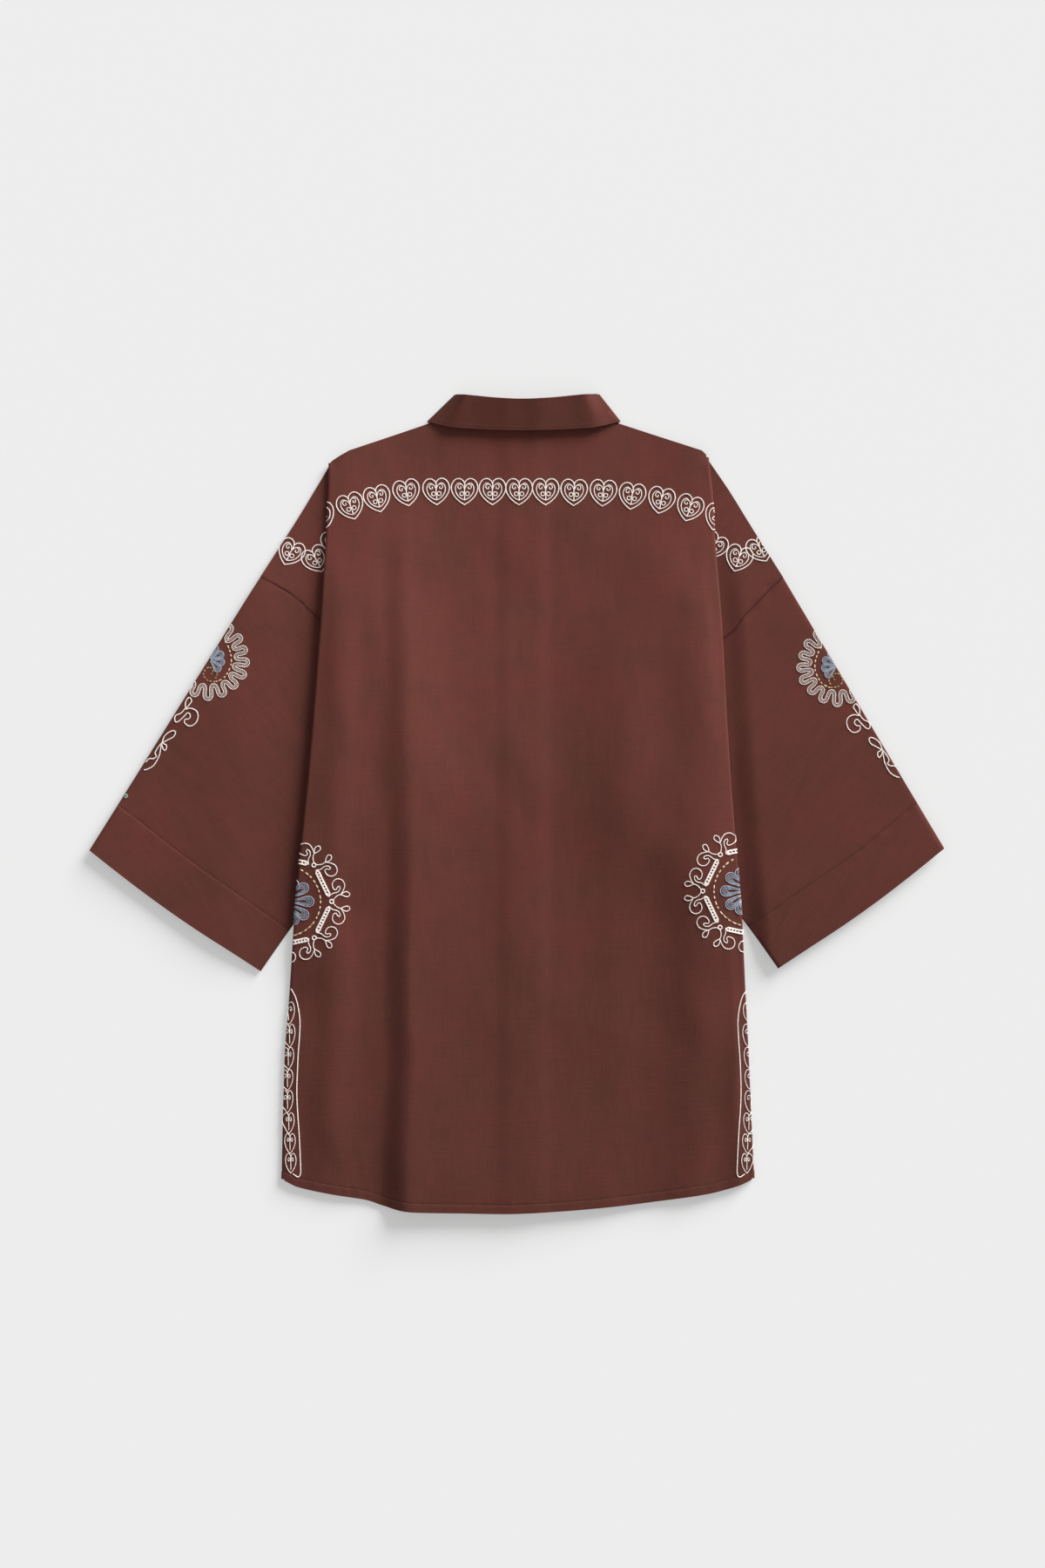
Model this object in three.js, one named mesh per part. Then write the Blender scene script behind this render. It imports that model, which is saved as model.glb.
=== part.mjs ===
import * as THREE from 'three';

// A kurti lying face down on a flat surface, with its back up and both sleeves swung down.
// Sizes are in millimetres. The plan below is seen from above: x to the right, y down the garment.
const WALL = 1.2; // cloth wall of a body or sleeve ply
const COLLAR_WALL = 1.5; // the fall is two layers of cloth
const GAP = 0.3; // between two plies, and at each seam
const REST = WALL + GAP / 2; // height of the middle of a pair of plies that lies on the surface
const TURN = 1.5; // radius of the middle of the pair where it turns under
const STEP = 2 * TURN; // height between the middles of two stacked pairs
const SWING = THREE.MathUtils.degToRad(16.5); // half the angle a sleeve is swung down by
const RAMP = 42; // run over which the body comes down from the folds beneath it
const CENTRE_X = 601.5; // centre front
const OVERLAP = 12.5; // each front passes the centre by this much
const LAP_FLAT = 13.5; // half width of the raised strip above the overlapping fronts
const LAP_END = 35; // distance from the centre where that strip has come down
const LAP_RISE = 1.5;
const COLLAR_RISE = 1.8; // the neck lies this much higher, on the front of the collar

// Each side. apex: the shoulder end that the sleeve is swung about. ridge: lower end of the
// body's folded edge. pit: underarm point on the flat pattern. seam: the armhole seam as it
// lies, from the shoulder down. over and under: ends of the sleeve hem as it lies.
// shift: how far the folded edge lies to the right of a straight line, at a few heights.
const SIDES = {
  left: {
    out: -1, apex: [378.2, 528], ridge: [324, 1353], pit: [326, 855],
    seam: [[299, 662.4], [325.5, 678], [340.8, 689], [354, 702.4], [371, 717]],
    over: [103.3, 976], under: [303, 1115],
    shift: [[528, 0], [600, 2.5], [716, 3], [830, 1.6], [900, 0], [965, -2.5], [1041, -5],
      [1139, -5], [1206, -6], [1290, -3], [1353, 0]],
  },
  right: {
    out: 1, apex: [812.6, 521.5], ridge: [865.5, 1352], pit: [866, 855],
    seam: [[898.5, 662.7], [878, 682], [864.7, 695.3], [851.4, 707.6], [836, 727]],
    over: [1083.6, 973.7], under: [890.4, 1111.5],
    shift: [[521, 0], [567, 2.5], [626, 1.7], [711, 3.3], [826, 2], [905, 2], [980, 3.2],
      [1056, 4.9], [1127, 3.8], [1206, 2.8], [1290, 1], [1352, 0]],
  },
};
const SHIFT_REACH = 90; // the shift fades out over this distance from the folded edge

// Upper edge of the back: shoulder, neckline, shoulder. Rows of [x, y].
const BACK_TOP = [[378, 532], [390.7, 523.6], [401.4, 517.5], [497, 485], [520, 488], [560, 489.5],
  [601.5, 490], [643, 489.5], [683, 488], [706, 485], [805.6, 517.7], [812.6, 524]];
const FRONT_NECK = [[497, 485], [520, 529], [543, 551], [566.5, 564], [588, 570.5], [601.5, 572],
  [615, 570.5], [636.5, 564], [660, 551], [683, 529], [706, 485]];
const HEM = [[322, 1352], [345, 1363], [380, 1370.5], [420, 1377], [440, 1384], [470, 1390],
  [530, 1391.6], [600, 1392], [700, 1385], [800, 1372], [850, 1362], [866, 1352]];
const HEM_BULGE = 5; // the sleeve hem bows out by this much

// Distances of the rows of the body down the folded edge: above the armhole's fold, from there
// to the pit, and below the pit.
const ROWS_UPPER = [4, 8, 13, 20, 40, 75, 115, 160];
const ROWS_MIDDLE = [245, 288];
const ROWS_LOWER = [372, 430, 480, 525, 556, 590, 626, 680, 735, 780];
// Rows of a sleeve: fractions of the way to the fold under the body, and from there to the hem.
const SLEEVE_INNER = [0.35, 0.7];
const SLEEVE_OUTER = [0.08, 0.22, 0.38, 0.54, 0.7, 0.85];
const DROP_START = 556; // beyond this no sleeve lies under the folded edge
const DROP_RUN = 70;

// Soft lengthwise waves of the back ply: [x upper, y upper, x lower, y lower, height, half width].
const WAVES = [[440, 620, 424, 1400, 1.9, 30], [486, 600, 500, 1400, 1.2, 34],
  [690, 640, 705, 1400, 1.3, 40], [770, 640, 800, 1400, 1.5, 30]];

// Collar, in rows of [upper x, upper y, lower x, lower y]. Each back leaf goes from the left
// side of the neck to the right, each left front leaf from the side of the neck to the front.
const FALL_BACK = [[522.5, 453, 490.3, 484.2], [534, 454.2, 518, 491], [546, 455.3, 543, 493],
  [566.5, 457.4, 566.5, 494.2], [588, 458.8, 588, 494.9], [601.5, 459, 601.5, 495],
  [615, 458.8, 615, 494.9], [636.5, 457.4, 636.5, 494.2], [657, 455.2, 660, 493],
  [672, 453.8, 685, 491], [688, 452.5, 712.7, 483.8]];
const FALL_LEAF = [[522.5, 453, 490, 484.6], [527, 476, 490, 508], [537, 502, 495, 535],
  [553, 524, 507, 560], [572, 538, 526, 579], [590, 545, 549, 592]];
const STAND_BACK = [[524.8, 455.6, 498.8, 482.6], [534, 456.7, 520, 488], [546, 457.8, 543, 488.9],
  [566.5, 459.9, 566.5, 489.6], [588, 461.3, 588, 489.8], [601.5, 461.5, 601.5, 490],
  [615, 461.3, 615, 489.8], [636.5, 459.9, 636.5, 489.6], [657, 457.7, 660, 488.9],
  [672, 456.3, 683, 488], [685.7, 455.2, 704.2, 482.6]];
const STAND_LEAF = [[524.8, 456, 498, 483], [530, 480, 508.5, 507], [539, 505, 520, 529],
  [554, 524, 543, 551], [566.5, 534, 566.5, 564], [588, 543, 588, 570.5], [601.5, 546, 601.5, 572],
  [614, 543, 614, 570.6]];
const COLLAR_LEFT = 489;
const COLLAR_RIGHT = 714;
const COLLAR_LOW = 605; // the raised neck ends below the collar points
const NECK_RAMP = 80;
const NECK_SNAP = 3; // a row that comes this close to the front neckline ends on it
const SHEET_X = 593.4495; // the middle of the outline, which becomes the origin
const SHEET_Y = 922.2157;

const clamp = (v) => Math.min(1, Math.max(0, v));
const smooth = (v) => clamp(v) ** 2 * (3 - 2 * clamp(v));
const mix = (a, b, t) => a + (b - a) * t;
const mixPoint = (p, q, t) => [mix(p[0], q[0], t), mix(p[1], q[1], t)];
const distance = (p, q) => Math.hypot(p[0] - q[0], p[1] - q[1]);

// Value of a table of [key, value] rows at a key, with straight lines between the rows.
function lookUp(table, key) {
  if (key <= table[0][0]) return table[0][1];
  for (let i = 1; i < table.length; i++) {
    const [k0, v0] = table[i - 1];
    const [k1, v1] = table[i];
    if (key <= k1) return mix(v0, v1, (key - k0) / (k1 - k0));
  }
  return table[table.length - 1][1];
}

// A smooth curve through plan points, read by fraction of its length.
function curveThrough(points) {
  const curve = new THREE.SplineCurve(points.map(([x, y]) => new THREE.Vector2(x, y)));
  curve.arcLengthDivisions = 400;
  return (t) => {
    const p = curve.getPointAt(clamp(t));
    return [p.x, p.y];
  };
}

// Polar position of a plan point about a side's apex. The angle grows outwards from the body.
function polar(side, [x, y]) {
  const inward = -side.out * (x - side.apex[0]);
  const down = y - side.apex[1];
  return [Math.hypot(inward, down), Math.atan2(down, inward)];
}

function fromPolar(side, r, angle) {
  return [side.apex[0] - side.out * r * Math.cos(angle), side.apex[1] + r * Math.sin(angle)];
}

// The fold at a distance r from the apex: the pair of plies turns under by `turn`, runs back
// over `flat` and turns out again. a and b are the cloth lengths, from the folded edge, at
// which the first turn starts and the second ends.
function foldAt(r) {
  const width = r * SWING;
  let turn = Math.PI;
  if (width < STEP * Math.PI / 2) {
    let low = 0;
    let high = Math.PI;
    for (let i = 0; i < 50; i++) {
      turn = (low + high) / 2;
      if (STEP * (turn - Math.sin(turn)) < 2 * width) low = turn;
      else high = turn;
    }
  }
  const flat = Math.max(0, width - Math.PI * TURN);
  const a = (width - 2 * TURN * turn - flat) / 2;
  return { width, turn, flat, a, b: width - a, height: STEP * (1 - Math.cos(turn)) };
}

const foldMiddle = (r) => REST + STEP * (1 - smooth((r - DROP_START) / DROP_RUN));

// Cloth length from the folded edge, at which station k of the fold lies. Stations 0 to 4 are
// the first turn, 5 is halfway along the tucked cloth, 6 to 10 are the second turn.
function stationLength(k, r) {
  const f = foldAt(r);
  if (k <= 4) return f.a + TURN * f.turn * k / 4;
  if (k === 5) return (f.a + f.b) / 2;
  return f.b - TURN * f.turn * (10 - k) / 4;
}

// Signed cloth length of a flat point from the folded edge, positive on the sleeve's side.
function lengthFromEdge(side, point) {
  const [r, angle] = polar(side, point);
  return r * (angle - side.ridgeAngle);
}

// Distance from a plan point to a polygon, zero inside it.
function distanceToPolygon([x, y], corners) {
  let best = Infinity;
  let inside = false;
  corners.forEach(([x1, y1], i) => {
    const [x0, y0] = corners[(i + corners.length - 1) % corners.length];
    const t = clamp(((x - x0) * (x1 - x0) + (y - y0) * (y1 - y0)) / ((x1 - x0) ** 2 + (y1 - y0) ** 2));
    best = Math.min(best, Math.hypot(x - mix(x0, x1, t), y - mix(y0, y1, t)));
    if ((y0 > y) !== (y1 > y) && x < x0 + (x1 - x0) * (y - y0) / (y1 - y0)) inside = !inside;
  });
  return inside ? 0 : best;
}

// Where the line through p and q meets the line through s and t.
function meet(p, q, s, t) {
  const d = (q[0] - p[0]) * (t[1] - s[1]) - (q[1] - p[1]) * (t[0] - s[0]);
  const u = ((s[0] - p[0]) * (t[1] - s[1]) - (s[1] - p[1]) * (t[0] - s[0])) / d;
  return mixPoint(p, q, u);
}

// What the tables leave to be worked out for a side: the seams on the flat pattern, and the
// part of the plan where folded cloth lies under the body.
for (const side of Object.values(SIDES)) {
  [side.ridgeLength, side.ridgeAngle] = polar(side, side.ridge);
  const unfold = (p) => {
    const [r, angle] = polar(side, p);
    return fromPolar(side, r, angle + 2 * SWING);
  };
  side.armhole = curveThrough([...side.seam.map(unfold), side.pit]);
  side.overEnd = unfold(side.over);
  side.underEnd = unfold(side.under);
  const valley = fromPolar(side, 300, side.ridgeAngle + SWING);
  const flatCross = meet(side.pit, side.underEnd, side.apex, valley);
  const [crossR] = polar(side, flatCross);
  side.innerCross = fromPolar(side, crossR, side.ridgeAngle - SWING);
  side.edgeCross = meet(side.innerCross, side.under, side.apex, side.ridge);
  const [pitR, pitAngle] = polar(side, side.pit);
  side.pitR = pitR;
  const tuckedPit = fromPolar(side, pitR, 2 * side.ridgeAngle - pitAngle);
  side.covered = [[side.apex, side.innerCross, side.edgeCross], [side.apex, tuckedPit, side.ridge]];
}

const sideAt = (x) => (x < CENTRE_X ? SIDES.left : SIDES.right);

// Rise of the strip over the overlapping fronts.
const lapRise = (x) => LAP_RISE * (1 - clamp((Math.abs(x - CENTRE_X) - LAP_FLAT) / (LAP_END - LAP_FLAT)));

// Height of the middle of the body's two plies at a plan point.
function bodyHeight(x, y) {
  const neckAway = Math.hypot(Math.max(COLLAR_LEFT - x, x - COLLAR_RIGHT, 0), Math.max(y - COLLAR_LOW, 0));
  let rise = COLLAR_RISE * (1 - smooth(neckAway / NECK_RAMP));
  const side = sideAt(x);
  const away = Math.min(...side.covered.map((c) => distanceToPolygon([x, y], c)));
  const [r] = polar(side, [x, y]);
  const full = foldMiddle(r) + foldAt(r).height / 2 - REST;
  rise = Math.max(rise, full * (1 - smooth((away - 6) / RAMP)));
  return REST + rise + lapRise(x);
}

// Soft lift of the back ply alone, nought at the folded edges, neck and shoulders.
function backLift(x, y) {
  let lift = 0;
  for (const [x0, y0, x1, y1, height, half] of WAVES) {
    const line = mix(x0, x1, (y - y0) / (y1 - y0));
    lift += height * (1 - smooth(Math.abs(x - line) / half)) * smooth((y - y0) / 160);
  }
  return Math.min(lift, 2.6);
}

// Moves a plan point sideways so that the folded edges follow their measured line.
function shifted(x, y) {
  const side = sideAt(x);
  const t = (y - side.apex[1]) / (side.ridge[1] - side.apex[1]);
  const away = Math.abs(x - mix(side.apex[0], side.ridge[0], t));
  return x + lookUp(side.shift, y) * (1 - smooth(away / SHIFT_REACH));
}

const toSpace = (x, y, z) => new THREE.Vector3(shifted(x, y) - SHEET_X, SHEET_Y - y, z);

// Where a point of the flat pattern comes to lie, `offset` above the middle of its pair of
// plies. `level` lowers the outer front where the fronts overlap, and `lift` raises the back.
function lay([x, y], offset, { level = 0, lift = 0 } = {}) {
  const side = sideAt(x);
  const [r, angle] = polar(side, [x, y]);
  const w = r * (angle - side.ridgeAngle);
  const f = foldAt(r);
  if (w <= f.a + 1e-9 || r < 1) return toSpace(x, y, bodyHeight(x, y) - level + offset + lift);
  const top = foldMiddle(r) + f.height / 2;
  const bottom = REST + STEP - f.height / 2;
  const turnLength = TURN * f.turn;
  let along;
  let z;
  let tilt = 0;
  if (w < f.a + turnLength) {
    tilt = (w - f.a) / TURN;
    along = f.a + TURN * Math.sin(tilt);
    z = top - TURN * (1 - Math.cos(tilt));
  } else if (w < f.b - turnLength) {
    tilt = f.turn;
    const run = w - f.a - turnLength;
    along = f.a + TURN * Math.sin(tilt) + run * Math.cos(tilt);
    z = top - TURN * (1 - Math.cos(tilt)) - run * Math.sin(tilt);
  } else if (w < f.b) {
    tilt = (f.b - w) / TURN;
    along = f.b - 2 * f.width - TURN * Math.sin(tilt);
    z = bottom + TURN * (1 - Math.cos(tilt));
  } else {
    along = w - 2 * f.width;
    z = bottom;
  }
  const at = side.ridgeAngle + along / r;
  const [px, py] = fromPolar(side, r, at);
  const push = offset * Math.sin(tilt);
  return toSpace(px + side.out * push * Math.sin(at), py + push * Math.cos(at), z + offset * Math.cos(tilt));
}

// Fraction along the path (0 to 1) at which its cloth length from the edge reaches station k.
function crossing(side, path, k) {
  const over = (t) => {
    const p = path(t);
    return lengthFromEdge(side, p) - stationLength(k, polar(side, p)[0]);
  };
  const rising = over(1) > over(0);
  const end = rising ? over(1) : over(0);
  if (end < 1e-3) return rising ? 1 : 0;
  let lo = 0;
  let hi = 1;
  for (let i = 0; i < 60; i++) {
    const mid = (lo + hi) / 2;
    if ((over(mid) < 0) === rising) lo = mid;
    else hi = mid;
  }
  return (lo + hi) / 2;
}

// Two faces of a sheet of cloth over the same triangles, closed into a wall along every edge.
class Wall {
  constructor() {
    this.index = new Map();
    this.upper = [];
    this.lower = [];
    this.faces = [];
  }

  point(key, upper, lower) {
    if (!this.index.has(key)) {
      this.index.set(key, this.upper.length);
      this.upper.push(upper());
      this.lower.push(lower());
    }
    return this.index.get(key);
  }

  face(a, b, c) {
    if (a !== b && b !== c && c !== a) this.faces.push([a, b, c]);
  }

  // `first` is the first column's number, so that two pieces cut their squares the same way.
  grid(rows, first = 0) {
    for (let j = 1; j < rows.length; j++) {
      for (let i = 1; i < rows[j].length; i++) {
        const [a, b, c, d] = [rows[j - 1][i - 1], rows[j - 1][i], rows[j][i], rows[j][i - 1]];
        if ((first + i) % 2) {
          this.face(a, b, c);
          this.face(a, c, d);
        } else {
          this.face(a, b, d);
          this.face(b, c, d);
        }
      }
    }
  }

  close() {
    const n = this.upper.length;
    const faces = this.faces.flatMap(([a, b, c]) => [[a, b, c], [c + n, b + n, a + n]]);
    const edges = new Set(this.faces.flatMap(([a, b, c]) => [`${a} ${b}`, `${b} ${c}`, `${c} ${a}`]));
    for (const [a, b, c] of this.faces) {
      for (const [p, q] of [[a, b], [b, c], [c, a]]) {
        if (!edges.has(`${q} ${p}`)) faces.push([q, p, p + n], [q, p + n, q + n]);
      }
    }
    return solid([...this.upper, ...this.lower], faces);
  }
}

// A closed body from points and faces, turned to face out.
function solid(points, faces) {
  let volume = 0;
  const cross = new THREE.Vector3();
  for (const [a, b, c] of faces) volume += cross.crossVectors(points[b], points[c]).dot(points[a]);
  const index = faces.flatMap(([a, b, c]) => (volume > 0 ? [a, b, c] : [a, c, b]));
  const geometry = new THREE.BufferGeometry().setFromPoints(points);
  geometry.setIndex(index);
  geometry.computeVertexNormals();
  return geometry;
}

// Rows of the body down one side: the row's distance down the folded edge, and the point of
// the armhole or side seam where it ends. Rows end exactly where the seam enters a turn.
function sideRows(side) {
  const first = ROWS_UPPER[0];
  const seamPath = (t) => side.armhole(t);
  const span = side.pitR - first;
  const turns = [10, 9, 8, 7, 6].map((k) => crossing(side, seamPath, k));
  const upper = [...ROWS_UPPER.map((r) => (r - first) / span), ...turns,
    ...ROWS_MIDDLE.map((r) => (r - first) / span), 1];
  const rows = upper.map((t) => ({ r: first + t * span, seam: side.armhole(t), fraction: t }));
  const sidePath = (t) => mixPoint(side.pit, side.ridge, t);
  const rest = side.ridgeLength - side.pitR;
  const lower = [...ROWS_LOWER.map((r) => (r - side.pitR) / rest),
    ...[4, 3].map((k) => crossing(side, sidePath, k)), 1];
  rows.push(...lower.map((t) => ({ r: side.pitR + t * rest, seam: sidePath(t) })));
  side.seamFractions = upper;
  return rows;
}

// Flat points of one row from the folded edge out to its seam: stations 0 to 10, two more on
// the swung cloth, and the seam itself.
function outerStations(side, { r, seam }) {
  const edge = fromPolar(side, r, side.ridgeAngle);
  const path = (t) => mixPoint(edge, seam, t);
  const points = [];
  let last = 0;
  for (let k = 0; k <= 10; k++) {
    const length = stationLength(k, r);
    if (length <= 1e-6) points.push(fromPolar(side, r, side.ridgeAngle + length / r));
    else {
      last = distance(edge, seam) < 1e-3 ? 1 : crossing(side, path, k);
      points.push(path(last));
    }
  }
  points.push(path(mix(last, 1, 1 / 3)), path(mix(last, 1, 2 / 3)), seam);
  return points;
}

// Inner limit, at one height, of the plan where folded cloth lies under the body.
function coveredLimit(side, y) {
  let reach = 0;
  for (const corners of side.covered) {
    corners.forEach(([x1, y1], i) => {
      const [x0, y0] = corners[(i + corners.length - 1) % corners.length];
      if ((y0 - y) * (y1 - y) > 0 || y0 === y1) return;
      const x = mix(x0, x1, (y - y0) / (y1 - y0));
      const t = (y - side.apex[1]) / (side.ridge[1] - side.apex[1]);
      reach = Math.max(reach, -side.out * (x - mix(side.apex[0], side.ridge[0], t)));
    });
  }
  return reach;
}

// The body's flat grid. Each row runs from the left seam to the right seam. `neck` replaces
// the upper edge between the shoulders for the fronts.
function bodyGrid(neck) {
  const left = sideRows(SIDES.left);
  const right = sideRows(SIDES.right);
  const edgeX = (side, y) => mix(side.apex[0], side.ridge[0],
    (y - side.apex[1]) / (side.ridge[1] - side.apex[1]));
  const topColumns = [497, 520, 543];
  return left.map((rowLeft, j) => {
    const rowRight = right[j];
    const t = [rowLeft, rowRight].map(({ r }, i) => {
      const side = i ? SIDES.right : SIDES.left;
      return (r - ROWS_UPPER[0]) / (side.ridgeLength - ROWS_UPPER[0]);
    });
    const outerLeft = outerStations(SIDES.left, rowLeft).reverse();
    const outerRight = outerStations(SIDES.right, rowRight);
    const ends = [outerLeft[13], outerRight[0]];
    const limits = [SIDES.left, SIDES.right].map((side, i) => {
      const reach = coveredLimit(side, ends[i][1]) + 7;
      return edgeX(side, ends[i][1]) - side.out * reach;
    });
    const near = limits.map((x, i) => [x, x + (i ? -1 : 1) * 31, x + (i ? -1 : 1) * 62]);
    const fade = smooth((ends[0][1] - 606) / 150);
    const inner = topColumns.map((x, i) => {
      const low = j > 20 ? [423, 446, 500][i] : mix(near[0][2], CENTRE_X - LAP_END, (i + 1) / 4);
      return mix(x, Math.max(low, near[0][2] + 8 * (i + 1)), fade);
    });
    const innerRight = topColumns.map((x, i) => mix(2 * CENTRE_X - x,
      mix(near[1][2], CENTRE_X + LAP_END, (i + 1) / 4), fade));
    const laps = [-LAP_END, -LAP_FLAT, 0, LAP_FLAT, LAP_END].map((d) => CENTRE_X + d);
    const columns = [...near[0], ...inner, ...laps, ...innerRight.reverse(), ...near[1].reverse()];
    const middle = columns.map((x) => {
      const share = mix(t[0], t[1], (x - ends[0][0]) / (ends[1][0] - ends[0][0]));
      const y = mix(lookUp(BACK_TOP, x), lookUp(HEM, x), share);
      const edge = neck && x >= neck[0][0] && x <= neck[neck.length - 1][0] ? lookUp(neck, x) : 0;
      return [x, y < edge + NECK_SNAP ? edge : y];
    });
    return [...outerLeft, ...middle, ...outerRight];
  });
}

// One piece of the body from part of the grid: columns from..to, offset from the middle.
function bodyPiece(grid, from, to, side, options = {}) {
  const wall = new Wall();
  const sign = side === 'back' ? 1 : -1;
  const { cut = null, level = () => 0 } = options;
  const rows = grid.map((row) => row.slice(from, to + 1).map((p, i) => {
    let point = p;
    if (cut !== null && i === cut.column - from) point = [cut.x, p[1]];
    const [x, y] = point;
    const place = (offset) => lay(point, offset, {
      level: level(x), lift: side === 'back' && i > 13 && i < row.length - 14 ? backLift(x, y) : 0,
    });
    const key = `${x.toFixed(4)} ${y.toFixed(4)}`;
    return wall.point(key, () => place(sign * REST), () => place(sign * GAP / 2));
  }));
  wall.grid(rows, from);
  return wall.close();
}

// A sleeve: a flat tube open at the armhole and the hem. Rows run across it from the fold over
// the arm to the fold under it.
function sleeve(side) {
  const start = side.armhole(0);
  const point = (across, t) => {
    const over = mixPoint(start, side.overEnd, t);
    const under = mixPoint(side.pit, side.underEnd, t);
    const line = mixPoint(start, side.pit, across);
    const seam = side.armhole(across);
    const [ux, uy] = mixPoint(over, under, across);
    const bow = HEM_BULGE * t * Math.sin(Math.PI * across);
    const length = distance(start, side.overEnd);
    return [ux + (seam[0] - line[0]) * (1 - t) + bow * (side.overEnd[0] - start[0]) / length,
      uy + (seam[1] - line[1]) * (1 - t) + bow * (side.overEnd[1] - start[1]) / length];
  };
  // Each row starts and ends half a tube's height inside the sleeve's edges.
  const limits = (t) => {
    const width = distance(point(0, t), point(1, t));
    return [REST / width, 1 - (REST + GAP) / width];
  };
  const turns = [6, 7, 8, 9, 10].map((k) => crossing(side, (t) => point(limits(t)[1], t), k));
  const rowsAt = [(GAP + 0.02) / distance(start, side.overEnd), ...SLEEVE_INNER.map((f) => f * turns[0]),
    ...turns, ...SLEEVE_OUTER.map((f) => mix(turns[4], 1, f)), 1];
  const fractions = side.seamFractions;
  const firstTurn = fractions.length - 1 - ROWS_MIDDLE.length - 5;
  const points = [];
  const faces = [];
  const index = new Map();
  const add = (v) => {
    const key = `${v.x.toFixed(4)} ${v.y.toFixed(4)} ${v.z.toFixed(4)}`;
    if (!index.has(key)) {
      index.set(key, points.length);
      points.push(v);
    }
    return index.get(key);
  };
  const face = (a, b, c) => {
    if (a !== b && b !== c && c !== a) faces.push([a, b, c]);
  };
  const rings = rowsAt.map((t) => {
    const [from, to] = limits(t);
    const path = (u) => point(mix(from, to, u), t);
    const cross = [10, 9, 8, 7, 6].map((k) => crossing(side, path, k));
    const stations = fractions.map((fraction, m) => {
      if (m < firstTurn) return fraction / fractions[firstTurn] * cross[0];
      if (m < firstTurn + 5) return cross[m - firstTurn];
      const after = (fraction - fractions[firstTurn + 4]) / (1 - fractions[firstTurn + 4]);
      return mix(cross[4], 1, after);
    });
    const end = (u, step) => {
      const centre = lay(path(u), 0);
      const normal = lay(path(u), 1).sub(centre);
      const out = centre.clone().sub(lay(path(u + step), 0)).normalize();
      return (offset, angle) => centre.clone().addScaledVector(normal, offset * Math.cos(angle))
        .addScaledVector(out, offset * Math.sin(angle));
    };
    const capFrom = end(0, 0.004);
    const capTo = end(1, -0.004);
    return [REST, GAP / 2].map((offset) => [
      ...stations.map((u) => lay(path(u), offset)),
      ...[Math.PI / 3, 2 * Math.PI / 3].map((angle) => capTo(offset, angle)),
      ...stations.map((u) => lay(path(u), -offset)).reverse(),
      ...[2 * Math.PI / 3, Math.PI / 3].map((angle) => capFrom(offset, angle)),
    ].map(add));
  });
  const band = (p, q, flip) => p.forEach((a, i) => {
    const n = (i + 1) % p.length;
    const corners = [a, p[n], q[n], q[i]];
    if (flip) corners.reverse();
    face(corners[0], corners[1], corners[2]);
    face(corners[0], corners[2], corners[3]);
  });
  for (let j = 1; j < rings.length; j++) {
    band(rings[j - 1][0], rings[j][0], false);
    band(rings[j - 1][1], rings[j][1], true);
  }
  band(rings[0][1], rings[0][0], false);
  band(rings[rings.length - 1][0], rings[rings.length - 1][1], false);
  return solid(points, faces);
}

// A band of the collar: left front leaf, turn at the side, back leaf, turn, right front leaf.
// `back` and `leaf` hold the upper and lower line of the leaves. `middle` is how far the
// middle of the band lies from the middle of the plies.
function neckBand({ back, leaf, middle, thickness, raised, rowCount, seam }) {
  const reach = middle + thickness / 2;
  const parts = 4;
  const wall = new Wall();
  const rows = [];
  for (let v = 0; v <= rowCount; v++) {
    const share = v / rowCount;
    const row = [];
    const flat = ([x, y], face, level) => row.push((offset) => toSpace(x, y,
      bodyHeight(x, y) - level + face * (middle + offset)));
    const ends = [back[0], back[back.length - 1]].map(([x0, y0, x1, y1], i) => {
      const [p, q] = [[x0, y0], [x1, y1]];
      const long = distance(p, q);
      const sign = i ? -1 : 1;
      const inward = [sign * (q[1] - p[1]) / long, -sign * (q[0] - p[0]) / long];
      const edge = mixPoint(p, q, share);
      return { inward, centre: [edge[0] + inward[0] * reach, edge[1] + inward[1] * reach] };
    });
    const turn = ({ inward, centre: [x, y] }, step) => {
      for (let i = 1; i < parts; i++) {
        const angle = Math.PI * (step > 0 ? i : parts - i) / parts;
        row.push((offset) => {
          const away = (middle + offset) * Math.sin(angle);
          return toSpace(x - inward[0] * away, y - inward[1] * away,
            bodyHeight(x, y) + (middle + offset) * Math.cos(angle));
        });
      }
    };
    const down = (rows) => rows.map(([x0, y0, x1, y1]) => mixPoint([x0, y0], [x1, y1],
      share * (1 - seam / Math.hypot(x1 - x0, y1 - y0))));
    const front = down(leaf.slice(1));
    [...front].reverse().forEach((p) => flat(p, -1, raised ? 0 : lapRise(p[0])));
    flat(ends[0].centre, -1, 0);
    turn(ends[0], -1);
    flat(ends[0].centre, 1, 0);
    down(back.slice(1, -1)).forEach((p) => flat(p, 1, 0));
    flat(ends[1].centre, 1, 0);
    turn(ends[1], 1);
    flat(ends[1].centre, -1, 0);
    front.map(([x, y]) => [2 * CENTRE_X - x, y]).forEach((p) => flat(p, -1, lapRise(p[0])));
    rows.push(row);
  }
  wall.grid(rows.map((row, v) => row.map((at, i) => wall.point(`${v} ${i}`,
    () => at(thickness / 2), () => at(-thickness / 2)))));
  return wall.close();
}

const cloth = (name, color) => new THREE.MeshStandardMaterial({ name, color, roughness: 0.92, metalness: 0 });
const group = new THREE.Group();
group.name = 'kurti';
const addPiece = (name, geometry) => {
  const mesh = new THREE.Mesh(geometry, cloth(`${name}_cloth`, 0x683a32));
  mesh.name = name;
  group.add(mesh);
};

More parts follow.
